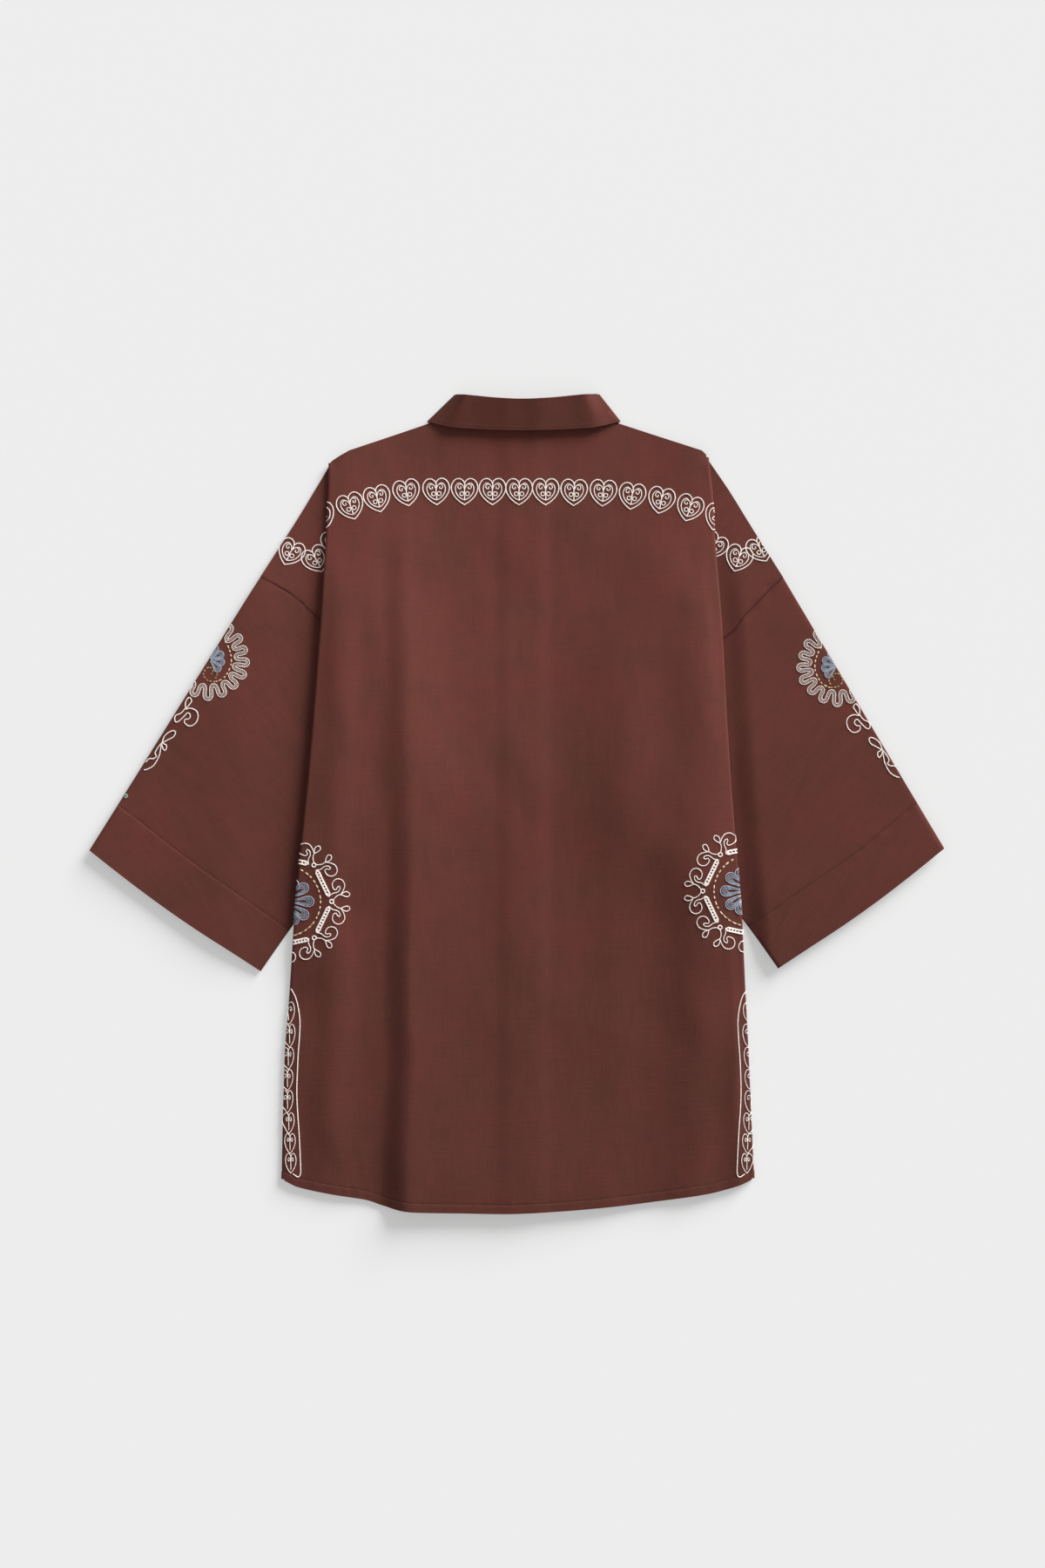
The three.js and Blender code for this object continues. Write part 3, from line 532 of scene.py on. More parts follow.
def cotton():
    """Dyed cotton: a fine plain weave, thicker threads here and there, and a slightly uneven dye
    that leans to red in some places and to olive brown in others. It is a little darker out on the
    sleeves, and painted shade darkens it towards the hem, beside seams and over the collar."""
    material, start, link = new_material("brown_cotton", Metallic=0.0, Sheen_Weight=0.02,
                                         Sheen_Roughness=0.5, Specular_IOR_Level=0.15)
    cut = start.node("ShaderNodeAttribute", {"attribute_name": "cut"}, output=1)

    def noise(scale, detail, rough, stretch=(1, 1, 1)):
        at = start.node("ShaderNodeMapping", {}, {"Vector": cut, "Scale": stretch})
        return start.node("ShaderNodeTexNoise", {}, {"Vector": at, "Scale": scale, "Detail": detail,
                                                     "Roughness": rough})
    patches = noise(11, 5.0, 0.6)
    streaks = noise(60, 4.0, 0.6, (1, 0.3, 1))
    grain = noise(420, 3.0, 0.7)
    thick_warp, thick_weft = noise(480, 2.0, 0.6, (1, 0.06, 1)), noise(480, 2.0, 0.6, (0.06, 1, 1))
    red, plain, olive = srgb(107, 55, 48), srgb(102, 56, 48), srgb(95, 55, 45)

    def spread(value, low, high, top):
        """A value from low to high, spread over 0 to top."""
        return start.node("ShaderNodeMapRange", {}, {"Value": value, "From Min": low, "From Max": high,
                                                     "To Min": 0.0, "To Max": top})
    tone = spread(patches * 0.72 + streaks * 0.34 - 0.03, 0.36, 0.68, 1.0)
    dye = {"stops": [(0.0, red), (0.5, plain), (1.0, olive)]}
    dyed = start.node("ShaderNodeValToRGB", dye, {"Fac": tone})
    fibres = grain * 0.3 + streaks * 0.2 + thick_warp * 0.25 + thick_weft * 0.25
    dark = spread(fibres, 0.36, 0.64, 0.26)
    across, down = (start.node("ShaderNodeSeparateXYZ", {}, {"Vector": cut}, output=k) for k in (0, 1))
    # Painted shade: the cloth grows darker lower down the garment, towards the hem, where the light falls
    # off.
    lower = spread(down, 0.75, 1.3, 0.32)
    away = across - CENTRE_X / 1000
    sleeves = spread(away.math("ABSOLUTE", away), 0.3, 0.5, 0.15)
    # The point attribute read here is painted shade: darker in seam grooves, along stitch rows and over the
    # whole collar.
    pressed = start.node("ShaderNodeAttribute", {"attribute_name": "pressed"}, output=2)
    link("Base Color", (dark + lower + sleeves + pressed).mix(dyed, srgb(52, 25, 20)))
    link("Roughness", 0.86 + grain * 0.1)
    warp, weft = (start.node("ShaderNodeTexWave", {"wave_type": "BANDS", "bands_direction": way},
                             {"Vector": cut, "Scale": 760.0, "Distortion": 1.2, "Detail": 1.0})
                  for way in "XY")
    slub = noise(90, 2.0, 0.5, (1, 0.2, 1))
    height = warp * 0.35 + weft * 0.35 + grain * 0.4 + slub * 0.5
    link("Normal", start.node("ShaderNodeBump", {}, {"Height": height, "Strength": 0.35,
                                                     "Distance": 0.0004}))
    return material


cloth = cotton()


def dress(piece, material, *nodes):
    """Gives a piece its material and its place in the frame."""
    piece.data.materials.append(material)
    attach(piece, "root")
    if nodes:
        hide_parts(*nodes)
    return piece


def seam_dip(distance, along):
    """The outer face beside a seam: rolled down into it, and drawn into small puckers."""
    pucker = np.sin(along / 1.75 + 1.4 * np.sin(along / 5.3)) * (0.6 + 0.4 * np.sin(along / 11.7))
    return 0.34 * pucker * np.exp(-(distance - 2.5) ** 2 / 26) * smooth(distance / 1.5) \
        - 0.42 * np.exp(-(distance / 0.9) ** 2)


def above_hem(flat):
    return np.interp(flat[..., 0], HEM_FINE[:, 0], HEM_FINE[:, 1]) - flat[..., 1]


def hem_fold(flat):
    """The narrow hem: the turned-up cloth is thicker, and its row of stitches sinks in."""
    x, up = flat[..., 0], above_hem(flat)
    pucker = 0.16 * np.sin(x / 2.6 + 1.3 * np.sin(x / 9.1)) * np.exp(-((up - 9) / 5) ** 2)
    sunk_row = 0.22 * np.exp(-((up - HEM_ROW) / 0.8) ** 2)
    return 0.5 * smooth((HEM_WIDTH - up) / 1.2) - sunk_row + pucker


def faces_of(flat, sign, level=None, lift=None, relief=0.0):
    """Outer and inner face of one layer: the back lies above the middle and a front below it."""
    return lay(flat, sign * OUTER + relief, level, lift), lay(flat, sign * INNER, level, lift)


back_flat, outer_count = body_grid()


def lift_on(p):
    """How far the back's own folds raise a flat point; nought at and beyond the folded edges."""
    inside = np.minimum(*(-side.out * (p[..., 0] - side.edge_x(p[..., 1])) for side in SIDES))
    return back_lift(p[..., 0], p[..., 1]) * smooth((inside - 1) / 16)


def dark_line(distance, half=1.3, depth=0.5):
    """Painted shade in a seam's groove or a sunk stitch row: how much darker the cloth is beside it."""
    return depth * np.exp(-(distance / half) ** 2)


# shade is painted shade: darker in the armhole seams' grooves and along the hem's sunk stitch row.
relief, shade = hem_fold(back_flat), 0
for side, seam in zip(SIDES, (back_flat[:, :1], back_flat[:, -1:])):
    away = np.linalg.norm(back_flat - seam, axis=2)
    r, _ = side.polar(seam)
    mine = (back_flat[..., 0] - CENTRE_X) * side.out > 0
    above = 1 - smooth((seam[..., 1] - side.pit[1] + 12) / 12)
    relief = relief + np.where(mine, seam_dip(away, r) * above * smooth((r - 40) / 40), 0)
    shade = shade + np.where(mine, dark_line(away) * above, 0)
shade = shade + dark_line(above_hem(back_flat) - HEM_ROW, 1.2, 0.25)
back_faces = faces_of(back_flat, 1, lift=lift_on(back_flat), relief=relief)
back = make_wall("back_cloth", back_flat, *back_faces, shade=shade)
dress(back, cloth, "back")

# THE FRONTS
# Two plain fronts under the back, of the same cotton, that pass each other by 25 mm at the
# centre. Only their lower face shows, from underneath.
FRONT_NECK = np.array([(497, 485), (520, 529), (543, 551), (566.5, 564), (588, 570.5), (601.5, 572),
                       (615, 570.5), (636.5, 564), (660, 551), (683, 529), (706, 485)], float)
front_flat, _ = body_grid(FRONT_NECK)
centre = outer_count + sum(COLUMNS[:6]) - 1
HALF_LAP = 12.5


def front(name, columns, cut_column, cut_x, outer):
    flat = front_flat[:, columns].copy()
    flat[:, cut_column, 0] = cut_x
    level = lap_rise(flat[..., 0]) if outer else None
    piece = make_wall(name + "_cloth", flat, *faces_of(flat, -1, level=level))
    dress(piece, cloth, name)
    return piece


front_left = front("front_left", slice(0, centre + 5), -1, CENTRE_X + HALF_LAP, False)
front_right = front("front_right", slice(centre - 4, None), 0, CENTRE_X - HALF_LAP, True)

# THE SLEEVES
# Each sleeve is one wide piece joined under the arm, set on the straight armhole and left open
# at a deep, plain hem. It lies flat, partly under the body.
SLEEVE_HEM = 60.5
SEAM_ROWS = (-0.15, 0.4, 0.9, 1.7, 3, 5)
HEM_LINE_ROWS = (-4, -2, -1, -0.3, 0.3, 1, 2, 4)


def sleeve(name, side):
    """A tube of cloth pressed flat: its upper half, a round turn at the top fold, its lower half
    and a turn at the under side, each as an outer and an inner face joined at the open ends."""
    start = side.armhole(0.0)
    top_fold = side.over_end - start
    line = lambda a, b, t: a + (b - a) * t

    def point(across, t):
        across, t = np.asarray(across, float)[..., None], np.asarray(t, float)[..., None]
        straight = line(start, side.pit, across)
        flat = line(line(start, side.over_end, t), line(side.pit, side.under_end, t), across)
        bow = 5 * t * np.sin(math.pi * across) * top_fold / np.linalg.norm(top_fold)
        return flat + (side.armhole(across[..., 0]) - straight) * (1 - t) + bow

    def limits(t):
        width = np.linalg.norm(point(1.0, t) - point(0.0, t), axis=-1)
        return REST / width, 1 - (REST + GAP) / width
    parts = TURN_PARTS
    turns = [float(crossing(side, lambda t: point(limits(t)[1], t), k))
             for k in range(parts + 5, 2 * parts + 6)]
    length = np.linalg.norm(top_fold)
    hem_at = 1 - SLEEVE_HEM / length
    rows = np.array(sorted([*(d / length for d in SEAM_ROWS), *turns, 1.0,
                            *(turns[0] * i / 30 for i in range(1, 30) if turns[0] * i / 30 > 7 / length),
                            *(turns[-1] + (hem_at - 0.012 - turns[-1]) * i / 44 for i in range(1, 44)),
                            *(hem_at + d / length for d in HEM_LINE_ROWS),
                            *(hem_at + 0.02 + (0.995 - hem_at - 0.02) * i / 9 for i in range(10))]))
    low, high = limits(rows)
    path = lambda u: point(low + (high - low) * u, rows)
    cross = [crossing(side, path, k) for k in range(2 * parts + 5, parts + 4, -1)]
    swung = np.linspace(0, 1, 53)[:52]
    stations = [cross[0] * f for f in swung] + cross
    stations += [cross[-1] + (1 - cross[-1]) * i / 12 for i in range(1, 13)]
    flat = np.stack([path(u) for u in stations], axis=1)

    def cap(u, step, offset, angles):
        centre = lay(path(np.full_like(low, u)))
        normal = (lay(path(np.full_like(low, u)), 1.0) - centre)
        out = centre - lay(path(np.full_like(low, u + step)))
        out = out / np.linalg.norm(out, axis=1, keepdims=True) / 1000
        return [centre + offset * (normal * math.cos(a) + out * math.sin(a)) for a in angles]
    angles = [math.pi * i / 6 for i in range(1, 6)]
    rings = []
    run = rows[:, None] * length
    across = (np.arange(flat.shape[1]) / flat.shape[1] * 250)[None, :]
    hem_line = length - SLEEVE_HEM
    pucker = 0.3 * np.sin(across / 2.7 + run / 6 + 1.6 * np.sin(across / 8.7)) \
        * (0.55 + 0.45 * np.sin(across / 23)) * np.exp(-((run - hem_line) / 6) ** 2)
    sunk_row = 0.2 * np.exp(-((run - hem_line + 1) / 0.8) ** 2)
    relief = 0.45 * smooth((run - hem_line) / 1.5 + 0.5) - sunk_row + pucker
    r, _ = side.polar(flat[:1])
    relief = relief + seam_dip(np.maximum(run, 0), r) * smooth(across / 8)
    # Painted shade in the armhole seam's groove and along the hem's sunk stitch row.
    lines = dark_line(np.maximum(run, 0)) + dark_line(run - hem_line + 1, 1.2, 0.22) + 0 * across
    shade = np.concatenate([lines, np.repeat(lines[:, -1:], 5, axis=1), lines[:, ::-1],
                            np.repeat(lines[:, :1], 5, axis=1)], axis=1)
    for offset in (OUTER, INNER):
        upper, lower = lay(flat, offset + (relief if offset == OUTER else 0)), lay(flat, -offset)
        ends = (np.stack(cap(1.0, -0.004, offset, angles), axis=1),
                np.stack(cap(0.0, 0.004, offset, angles[::-1]), axis=1))
        rings.append(np.concatenate([upper, ends[0], lower[:, ::-1], ends[1]], axis=1))
    last, first = np.repeat(flat[:, -1:], 5, axis=1), np.repeat(flat[:, :1], 5, axis=1)
    weave = np.concatenate([flat, last, flat[:, ::-1], first], axis=1)
    count, around = rings[0].shape[:2]
    points = np.concatenate([ring.reshape(-1, 3) for ring in rings])
    ids = np.arange(2 * count * around).reshape(2, count, around)
    faces = []
    for layer, turn in ((0, 1), (1, -1)):
        a, b = ids[layer, :-1], ids[layer, 1:]
        c, d = np.roll(b, -1, axis=1), np.roll(a, -1, axis=1)
        for t in ((a, d, c), (a, c, b)):
            faces.append(np.stack(t, axis=-1).reshape(-1, 3)[:, ::turn])
    for row, turn in ((0, 1), (-1, -1)):
        a, b = ids[1, row], ids[0, row]
        for t in ((a, np.roll(a, -1), np.roll(b, -1)), (a, np.roll(b, -1), b)):
            faces.append(np.stack(t, axis=-1)[:, ::turn])
    faces = np.concatenate(faces)
    keys = np.round(points * 1e6).astype(np.int64)
    _, firsts, merged = np.unique(keys, axis=0, return_index=True, return_inverse=True)
    faces = merged.reshape(-1)[faces]
    faces = faces[(faces[:, 0] != faces[:, 1]) & (faces[:, 1] != faces[:, 2]) & (faces[:, 2] != faces[:, 0])]
    weave = np.concatenate([weave.reshape(-1, 2)] * 2)
    shade = np.concatenate([shade.reshape(-1)] * 2)
    piece = new_mesh(name + "_cloth", points[firsts], faces, weave[firsts], shade[firsts])
    side.sleeve_point = point
    dress(piece, cloth, name)
    return piece


sleeve("sleeve_left", SIDES[0])
sleeve("sleeve_right", SIDES[1])

# THE EMBROIDERY
# Chain stitch in thick off-white cotton, with grey-blue flowers and running stitch in tan and
# olive gold. It is worked by hand through the cloth, so each row sits on its outer face.
STITCH_STEP = 0.5


def on_body(plan):
    """Flat points of the body that come to lie under points of the plan."""
    p = np.asarray(plan, float)
    by = [np.where(side.out * (p[:, 0] - CENTRE_X) > 0, side.moved(p[:, 0], p[:, 1]), 0) for side in SIDES]
    return p - np.column_stack([by[0] + by[1], np.zeros(len(p))])


def on_arm(side):
    """The same for the cloth that is swung down beside the body, and its sleeve."""
    def flat(plan):
        p = np.asarray(plan, float)
        return side.unfold(p - np.column_stack([side.moved(p[:, 0], p[:, 1]), np.zeros(len(p))]))
    return flat


def from_top_edge(side, p):
    """Distance of flat points from the shoulder seam and the folded top edge of the sleeve."""
    start, best = side.armhole(0.0), None
    for a, b in ((side.unfold(side.apex), start), (start, side.over_end)):
        along = (b - a) / np.linalg.norm(b - a)
        d = (p[..., 0] - a[0]) * along[1] - (p[..., 1] - a[1]) * along[0]
        best = d if best is None else np.where((p - start) @ along > 0, d, best)
    return -side.out * best


def seen(p):
    """Which flat points show: neither tucked into a fold nor past the edge of the cloth."""
    shows = np.zeros(len(p), bool)
    for side, mine in zip(SIDES, (p[:, 0] < CENTRE_X, p[:, 0] >= CENTRE_X)):
        q = p[mine]
        r, _ = side.polar(q)
        w, f = length_from_edge(side, q), Fold(r)
        over = w < f.a + TURN * np.minimum(f.turn, 1.7)
        edge = f.a + TURN * np.sin(np.minimum(f.turn, math.pi / 2))
        beside = (w - 2 * f.width > edge + 0.7) & (from_top_edge(side, q) > 0.1)
        shows[mine] = over | beside
    return shows


def measured(points):
    """A smooth line through points, and its length."""
    path = curve_through(points, 24)
    fine = path(np.linspace(0, 1, 400))
    return path, float(np.linalg.norm(np.diff(fine, axis=0), axis=1).sum())


class Thread:
    """Rows of stitches in one thread, gathered into one mesh that lies on the cloth."""

    def __init__(self, name):
        self.name, self.points, self.faces, self.count = name, [], [], 0

    def place(self, p, height):
        offset = np.full(len(p), OUTER + height * 0.35)
        for side in SIDES:
            beyond = (p - side.armhole(0.0)) @ (side.over_end - side.armhole(0.0)) > 0
            mine = beyond & ((p[:, 0] - CENTRE_X) * side.out > 0)
            near = np.maximum(0, REST - from_top_edge(side, p)) * mine
            offset = np.sqrt(np.maximum(0.01, offset ** 2 - near ** 2))
        lift = lift_on(p)
        at = lay(p, offset, lift=lift)
        return at, lay(p, offset + 1, lift=lift) - at

    def tube(self, at, up, half, top, middle):
        """One run of thread: half widths, heights of its two strands and of the dip between."""
        along = np.gradient(at, axis=0)
        across = np.cross(along, up)
        across /= np.maximum(np.linalg.norm(across, axis=1, keepdims=True), 1e-12)
        up = up / np.linalg.norm(up, axis=1, keepdims=True)
        ring = [(-1, 0, 0), (-0.58, 1, 0), (0, 0, 1), (0.58, 1, 0), (1, 0, 0), (0, -0.55, 0)]
        rows = np.stack([at + across * (x * half)[:, None] / 1000
                         + up * (z * top + m * middle)[:, None] / 1000 for x, z, m in ring], axis=1)
        n, k = rows.shape[:2]
        ids = np.arange(n * k).reshape(n, k) + self.count
        a, b = ids[:-1], ids[1:]
        c, d = np.roll(b, -1, axis=1), np.roll(a, -1, axis=1)
        self.faces += [np.stack(t, axis=-1).reshape(-1, 3) for t in ((a, b, c), (a, c, d))]
        for end, turn in ((ids[0], 1), (ids[-1], -1)):
            self.faces.append(np.array([(end[0], end[i], end[i + 1]) for i in range(1, k - 1)])[:, ::turn])
        self.points.append(rows.reshape(-1, 3))
        self.count += n * k

    def chain(self, flat, width=1.4, height=0.6, pitch=2.3):
        """A row of chain stitch: two strands that meet at the end of every stitch."""
        path, length = measured(flat)
        n = max(4, round(length / STITCH_STEP) + 1)
        p = path(np.linspace(0, 1, n))
        phase = np.linspace(0, length / pitch, n) % 1
        swell = np.sin(math.pi * phase) ** 0.6
        shows = seen(p)
        at, up = self.place(p, height)
        edges = np.flatnonzero(np.diff(np.concatenate([[0], shows.astype(int), [0]])))
        for i, j in zip(edges[::2], edges[1::2]):
            if j - i > 2:
                s = swell[i:j]
                self.tube(at[i:j], up[i:j], width / 2 * (0.62 + 0.38 * s), height * (0.75 + 0.2 * s),
                          height * (0.95 - 0.5 * s))

    def running(self, flat, stitch, gap, width, height=0.55):
        """Running stitch: short straight stitches with a gap between."""
        path, length = measured(flat)
        for k in range(int(length / (stitch + gap)) + 1):
            low = k * (stitch + gap)
            high = min(low + stitch * (0.9 + 0.2 * math.sin(k * 2.4)), length)
            if high - low < 1:
                continue
            p = path(np.linspace(low, high, 7) / length)
            if not seen(p).all():
                continue
            at, up = self.place(p, height)
            q = np.linspace(-1, 1, 7)
            round_off = np.sqrt(np.maximum(0.05, 1 - q ** 4))
            self.tube(at, up, width / 2 * round_off, height * 0.8 * round_off, height * round_off)

    def sewn(self, at, up, stitch=2.3, gap=0.8, width=0.55, height=0.3):
        """Machine stitches along a line that is already laid out, in metres."""
        run = np.concatenate([[0], np.cumsum(np.linalg.norm(np.diff(at, axis=0), axis=1))]) * 1000
        for low in np.arange(0, run[-1] - stitch, stitch + gap):
            t = np.linspace(low, low + stitch, 5)
            line, normal = (np.column_stack([np.interp(t, run, v[:, k]) for k in range(3)])
                            for v in (at, up))
            q = np.sqrt(1.05 - np.linspace(-1, 1, 5) ** 4)
            self.tube(line, normal, width / 2 * q, height * 0.8 * q, height * q)

    def knot(self, centre, size=1.6):
        """A small knot: the yarn wound a little over once round its own stitch."""
        angle = np.linspace(0, 2.2 * math.pi, 10)
        self.chain(np.asarray(centre) + size * 0.45 * np.column_stack([np.cos(angle), np.sin(angle)]),
                   width=size * 0.8, height=0.9, pitch=1.1)

    def finish(self, material):
        piece = new_mesh(self.name, np.concatenate(self.points), np.concatenate(self.faces))
        return dress(piece, material)


def yarn(name, colour, shade):
    """Soft twisted cotton yarn: fine fibres, darker between its strands."""
    material, start, link = new_material(name, Metallic=0.0, Sheen_Weight=0.2)
    at = start.node("ShaderNodeTexCoord", {}, {}, output=3)
    fibres = start.node("ShaderNodeTexNoise", {}, {"Vector": at, "Scale": 1400.0, "Detail": 2.0})
    worn = start.node("ShaderNodeTexNoise", {}, {"Vector": at, "Scale": 260.0, "Detail": 2.0})
    tone = start.node("ShaderNodeMapRange", {}, {"Value": fibres * 0.5 + worn * 0.5, "From Min": 0.38,
                                                 "From Max": 0.62, "To Min": 0.0, "To Max": 1.0})
    link("Base Color", tone.mix(srgb(*shade), srgb(*colour)))
    link("Roughness", 0.72 + fibres * 0.2)
    link("Normal", start.node("ShaderNodeBump", {}, {"Height": fibres, "Strength": 0.5, "Distance": 0.0003}))
    return material


off_white = yarn("off_white_yarn", (253, 247, 241), (230, 217, 208))
grey_blue = yarn("grey_blue_yarn", (140, 149, 163), (96, 103, 117))
pale_blue = yarn("pale_blue_yarn", (182, 188, 200), (146, 153, 168))
tan = yarn("tan_yarn", (234, 208, 172), (200, 168, 130))
gold = yarn("olive_gold_yarn", (172, 146, 92), (124, 100, 56))
rust = yarn("rust_yarn", (168, 108, 78), (128, 80, 56))


def turned(points, angle, centre=(0, 0)):
    """Chart points turned by an angle in degrees and set on a centre."""
    p, a = np.asarray(points, float), math.radians(angle)
    return np.asarray(centre) + p @ np.array([[math.cos(a), math.sin(a)], [-math.sin(a), math.cos(a)]])


def arc(x, y, radius, start, end, count):
    a = np.radians(np.linspace(start, end, count))
    return np.column_stack([x + radius * np.cos(a), y + radius * np.sin(a)])


# The row of hearts across the yoke and over the shoulders, in off-white chain stitch. Each is an
# outline, a smaller one inside it, two hooks, two rings and a stem, charted for its right half.
HALF_HEART = [(0, -9.6), (1.6, -12.4), (5.2, -14.6), (9.6, -14.2), (13.4, -10.8), (15.2, -5.4), (14.3, 0.4),
              (11, 6.2), (6, 11.2), (0, 15.2)]
INNER_HEART = [(3.6, -8.4), (6.6, -9.6), (9.4, -7.6), (10.6, -3.4), (9.8, 1), (7.4, 5), (3.9, 8), (0, 9.8)]
HOOK = [(0, -3), (1.2, -5.4), (2.4, -7.4), (4.8, -8.4), (7.2, -7.2), (7.6, -4.6), (5.8, -3), (4, -4),
        (4.6, -5.8)]
STEM = [(0, -10.4), (0.3, -6), (-0.2, 0), (0.2, 5), (0, 9.6)]
HEART_ROWS = [HALF_HEART, INNER_HEART, HOOK, arc(3.2, 2.6, 2.2, 180, 530, 10)]


def heart(thread, centre, tilt, place, wide=1.0, tall=1.0, fine=1.0, rows=HEART_ROWS):
    """tilt turns the tip towards the right, in degrees."""
    size = np.array([wide, tall])
    for mirror in (1, -1):
        for row in rows:
            thread.chain(place(turned(np.asarray(row) * size * [mirror, 1], -tilt, centre)),
                         fine * (1.3 if row is HALF_HEART else 1.1))
    thread.chain(place(turned(np.array(STEM) * size, -tilt, centre)), 1.3 * fine)


hearts = Thread("yoke_hearts")
# Middle of each heart on the plan, and how far its tip turns to the right.
YOKE = [(370, 592.5, 24), (403, 582, 18), (433.6, 573.3, 14), (467, 566, 10), (501, 564.6, 3),
        (533.5, 564.6, 0), (565.5, 564.6, 0), (596, 564.8, 0), (626.5, 564.8, 0), (659, 565.6, -2),
        (692.5, 566.2, -4), (725.6, 570, -8), (759, 575, -12), (791.5, 584, -18), (823.5, 594.5, -22)]
SHOULDERS = ([(333.7, 634.6, -27), (363.2, 642.6, 28), (385.5, 621.5, 30)],
             [(819, 627, -32), (847.8, 641.5, -18), (872.9, 630.8, 26)])
for x, y, tilt in YOKE:
    heart(hearts, (x, y), tilt, on_body)
for side, marks in zip(SIDES, SHOULDERS):
    for x, y, tilt in marks:
        heart(hearts, (x, y), tilt, on_arm(side))
hearts.finish(off_white)

# The seven-sided medallion at each side of the body, cut by the folded edge: a grey-blue flower
# with rust knots, a dashed tan ring, seven laddered bars and a pair of scrolls with leaves at
# every corner. Charted from its middle.
SIDES_ROUND, RING_R, CORNER_R = 7, 40.5, 53.3
PETALS = [(0, 33), (36, 32), (-36, 32), (64, 29), (-64, 29), (94, 25), (-94, 25), (126, 25),
          (-126, 25), (158, 25), (-158, 25)]
SCROLL = [(-3.5, 5.3), (1, 9), (6.5, 10.6), (9.3, 13.6), (9.3, 17), (7, 16.6), (5.2, 13.7),
          (2.3, 14.4), (0.8, 19.6), (3, 24), (7.5, 26), (12.4, 24.2), (15, 19), (13.6, 13.2),
          (10.4, 7.8)]
LEAF = [(10.4, 7.8), (13.6, 10.2), (17.3, 11.2), (20.8, 8.8), (18.9, 5.6), (14.8, 6), (10.4, 7.8),
        (6.3, 6.4), (3, 3.2), (1.6, 0.8)]
BAR_HALF, BAR_INSET, RUNG_STEP = 1.8, 7.5, 3.6


def petal(length, width, base=4.0):
    half = [(base, 0), (length * 0.45, width * 0.24), (length * 0.75, width * 0.48),
            (length * 0.92, width * 0.4), (length, 0)]
    return half + [(x, -y) for x, y in half[-2::-1]]


def medallion(name, side, centre, place):
    def turn(points, angle):
        return place(turned(points, angle) * [-side.out, 1] + np.asarray(centre))
    white, blue, pale = Thread(name + "_scrolls"), Thread(name + "_petals"), Thread(name + "_petal_edges")
    for k in range(SIDES_ROUND):
        angle = 360 / SIDES_ROUND * k
        for flip in (1, -1):
            for row in (SCROLL, LEAF):
                white.chain(turn(np.asarray(row) * [1, flip] + [CORNER_R, 0], angle), 1.1)
        white.chain(turn(arc(CORNER_R, 0, 2.2, 0, 370, 12), angle), 1.5)
        corner = np.array([CORNER_R, 0])
        following = turned([corner], 360 / SIDES_ROUND)[0]
        line = (following - corner) / np.linalg.norm(following - corner)
        across = np.array([-line[1], line[0]])
        long = np.linalg.norm(following - corner) - 2 * BAR_INSET

        def bar(s, t):
            return corner + line * (BAR_INSET + s) + across * t
        stops = (2, long * 0.25, long * 0.5, long * 0.75, long - 2)
        rail = [*(bar(s, BAR_HALF) for s in stops), bar(long, 0),
                *(bar(s, -BAR_HALF) for s in stops[::-1]), bar(0, 0), bar(2, BAR_HALF), bar(4, BAR_HALF)]
        white.chain(turn(rail, angle), 2.0, 0.8)
        for s in np.arange(3.4, long - 2, RUNG_STEP):
            white.chain(turn([bar(s, 1.7), bar(s + 0.2, 0), bar(s, -1.7)], angle), 1.9, 0.7)
    for angle, long in PETALS:
        for grow in (0.42, 0.64, 0.84):
            shape = np.array(petal(long - 0.4, 10.4)) * [1, grow]
            shape[:, 0] = 8 + (shape[:, 0] - 8) * (0.5 + 0.5 * grow)
            blue.chain(turn(shape, angle), 1.7, 0.55)
        pale.chain(turn(petal(long, 12), angle), 1.1, 0.75)
    ring = arc(0, 0, RING_R, -180, 180, 60)
    tan_row, gold_row = Thread(name + "_tan_ring"), Thread(name + "_gold_ring")
    dots = Thread(name + "_knots")
    tan_row.running(turn(ring[12:46], 0), 4.4, 1.9, 1.6)
    gold_row.running(turn(arc(0, 0, RING_R - 0.4, 40, 100, 20), 0), 4.2, 2.2, 1.2)
    for angle, long in PETALS:
        dots.knot(turn([(long - 7, 0)], angle)[0])
    white.finish(off_white)
    blue.finish(grey_blue)
    pale.finish(pale_blue)
    tan_row.finish(tan)
    gold_row.finish(gold)
    dots.finish(rust)


medallion("left_medallion", SIDES[0], (327.9, 1034.5), on_body)
medallion("right_medallion", SIDES[1], (859.7, 1022.5), on_body)

# The border up each side from the hem, in the same off-white chain stitch: a line round a row of
# narrow hearts, the left one drawn and the right one its mirror image.
BORDER_LINE = [(334.9, 1134.9), (340.7, 1148), (344.4, 1170), (343.6, 1194.6), (342, 1219), (341, 1249),
               (341.6, 1271), (343.7, 1301), (345.2, 1332), (345.4, 1346), (342.6, 1350.4), (336.5, 1347)]
BORDER_HEARTS = [1150, 1175.5, 1202, 1227.4, 1251.6, 1277, 1301, 1323.6, 1346]
BORDERS_SUM_X, HEART_TALL = 1191.5, 29.8
borders = Thread("side_borders")
for mirror, offset in ((1, 0), (-1, BORDERS_SUM_X)):
    place = lambda p: on_body(np.asarray(p, float) * [mirror, 1] + [offset, 0])
    borders.chain(place(BORDER_LINE), 1.2)
    line = np.array(BORDER_LINE)
    for y0, y1 in zip(BORDER_HEARTS, BORDER_HEARTS[1:]):
        y = (y0 + y1) / 2
        x = np.interp(y, line[:9, 1], line[:9, 0]) - 11
        heart(borders, (x, y), 0, place, wide=0.4, tall=(y1 - y0) / HEART_TALL, fine=0.66,
              rows=HEART_ROWS[::2])
borders.finish(off_white)

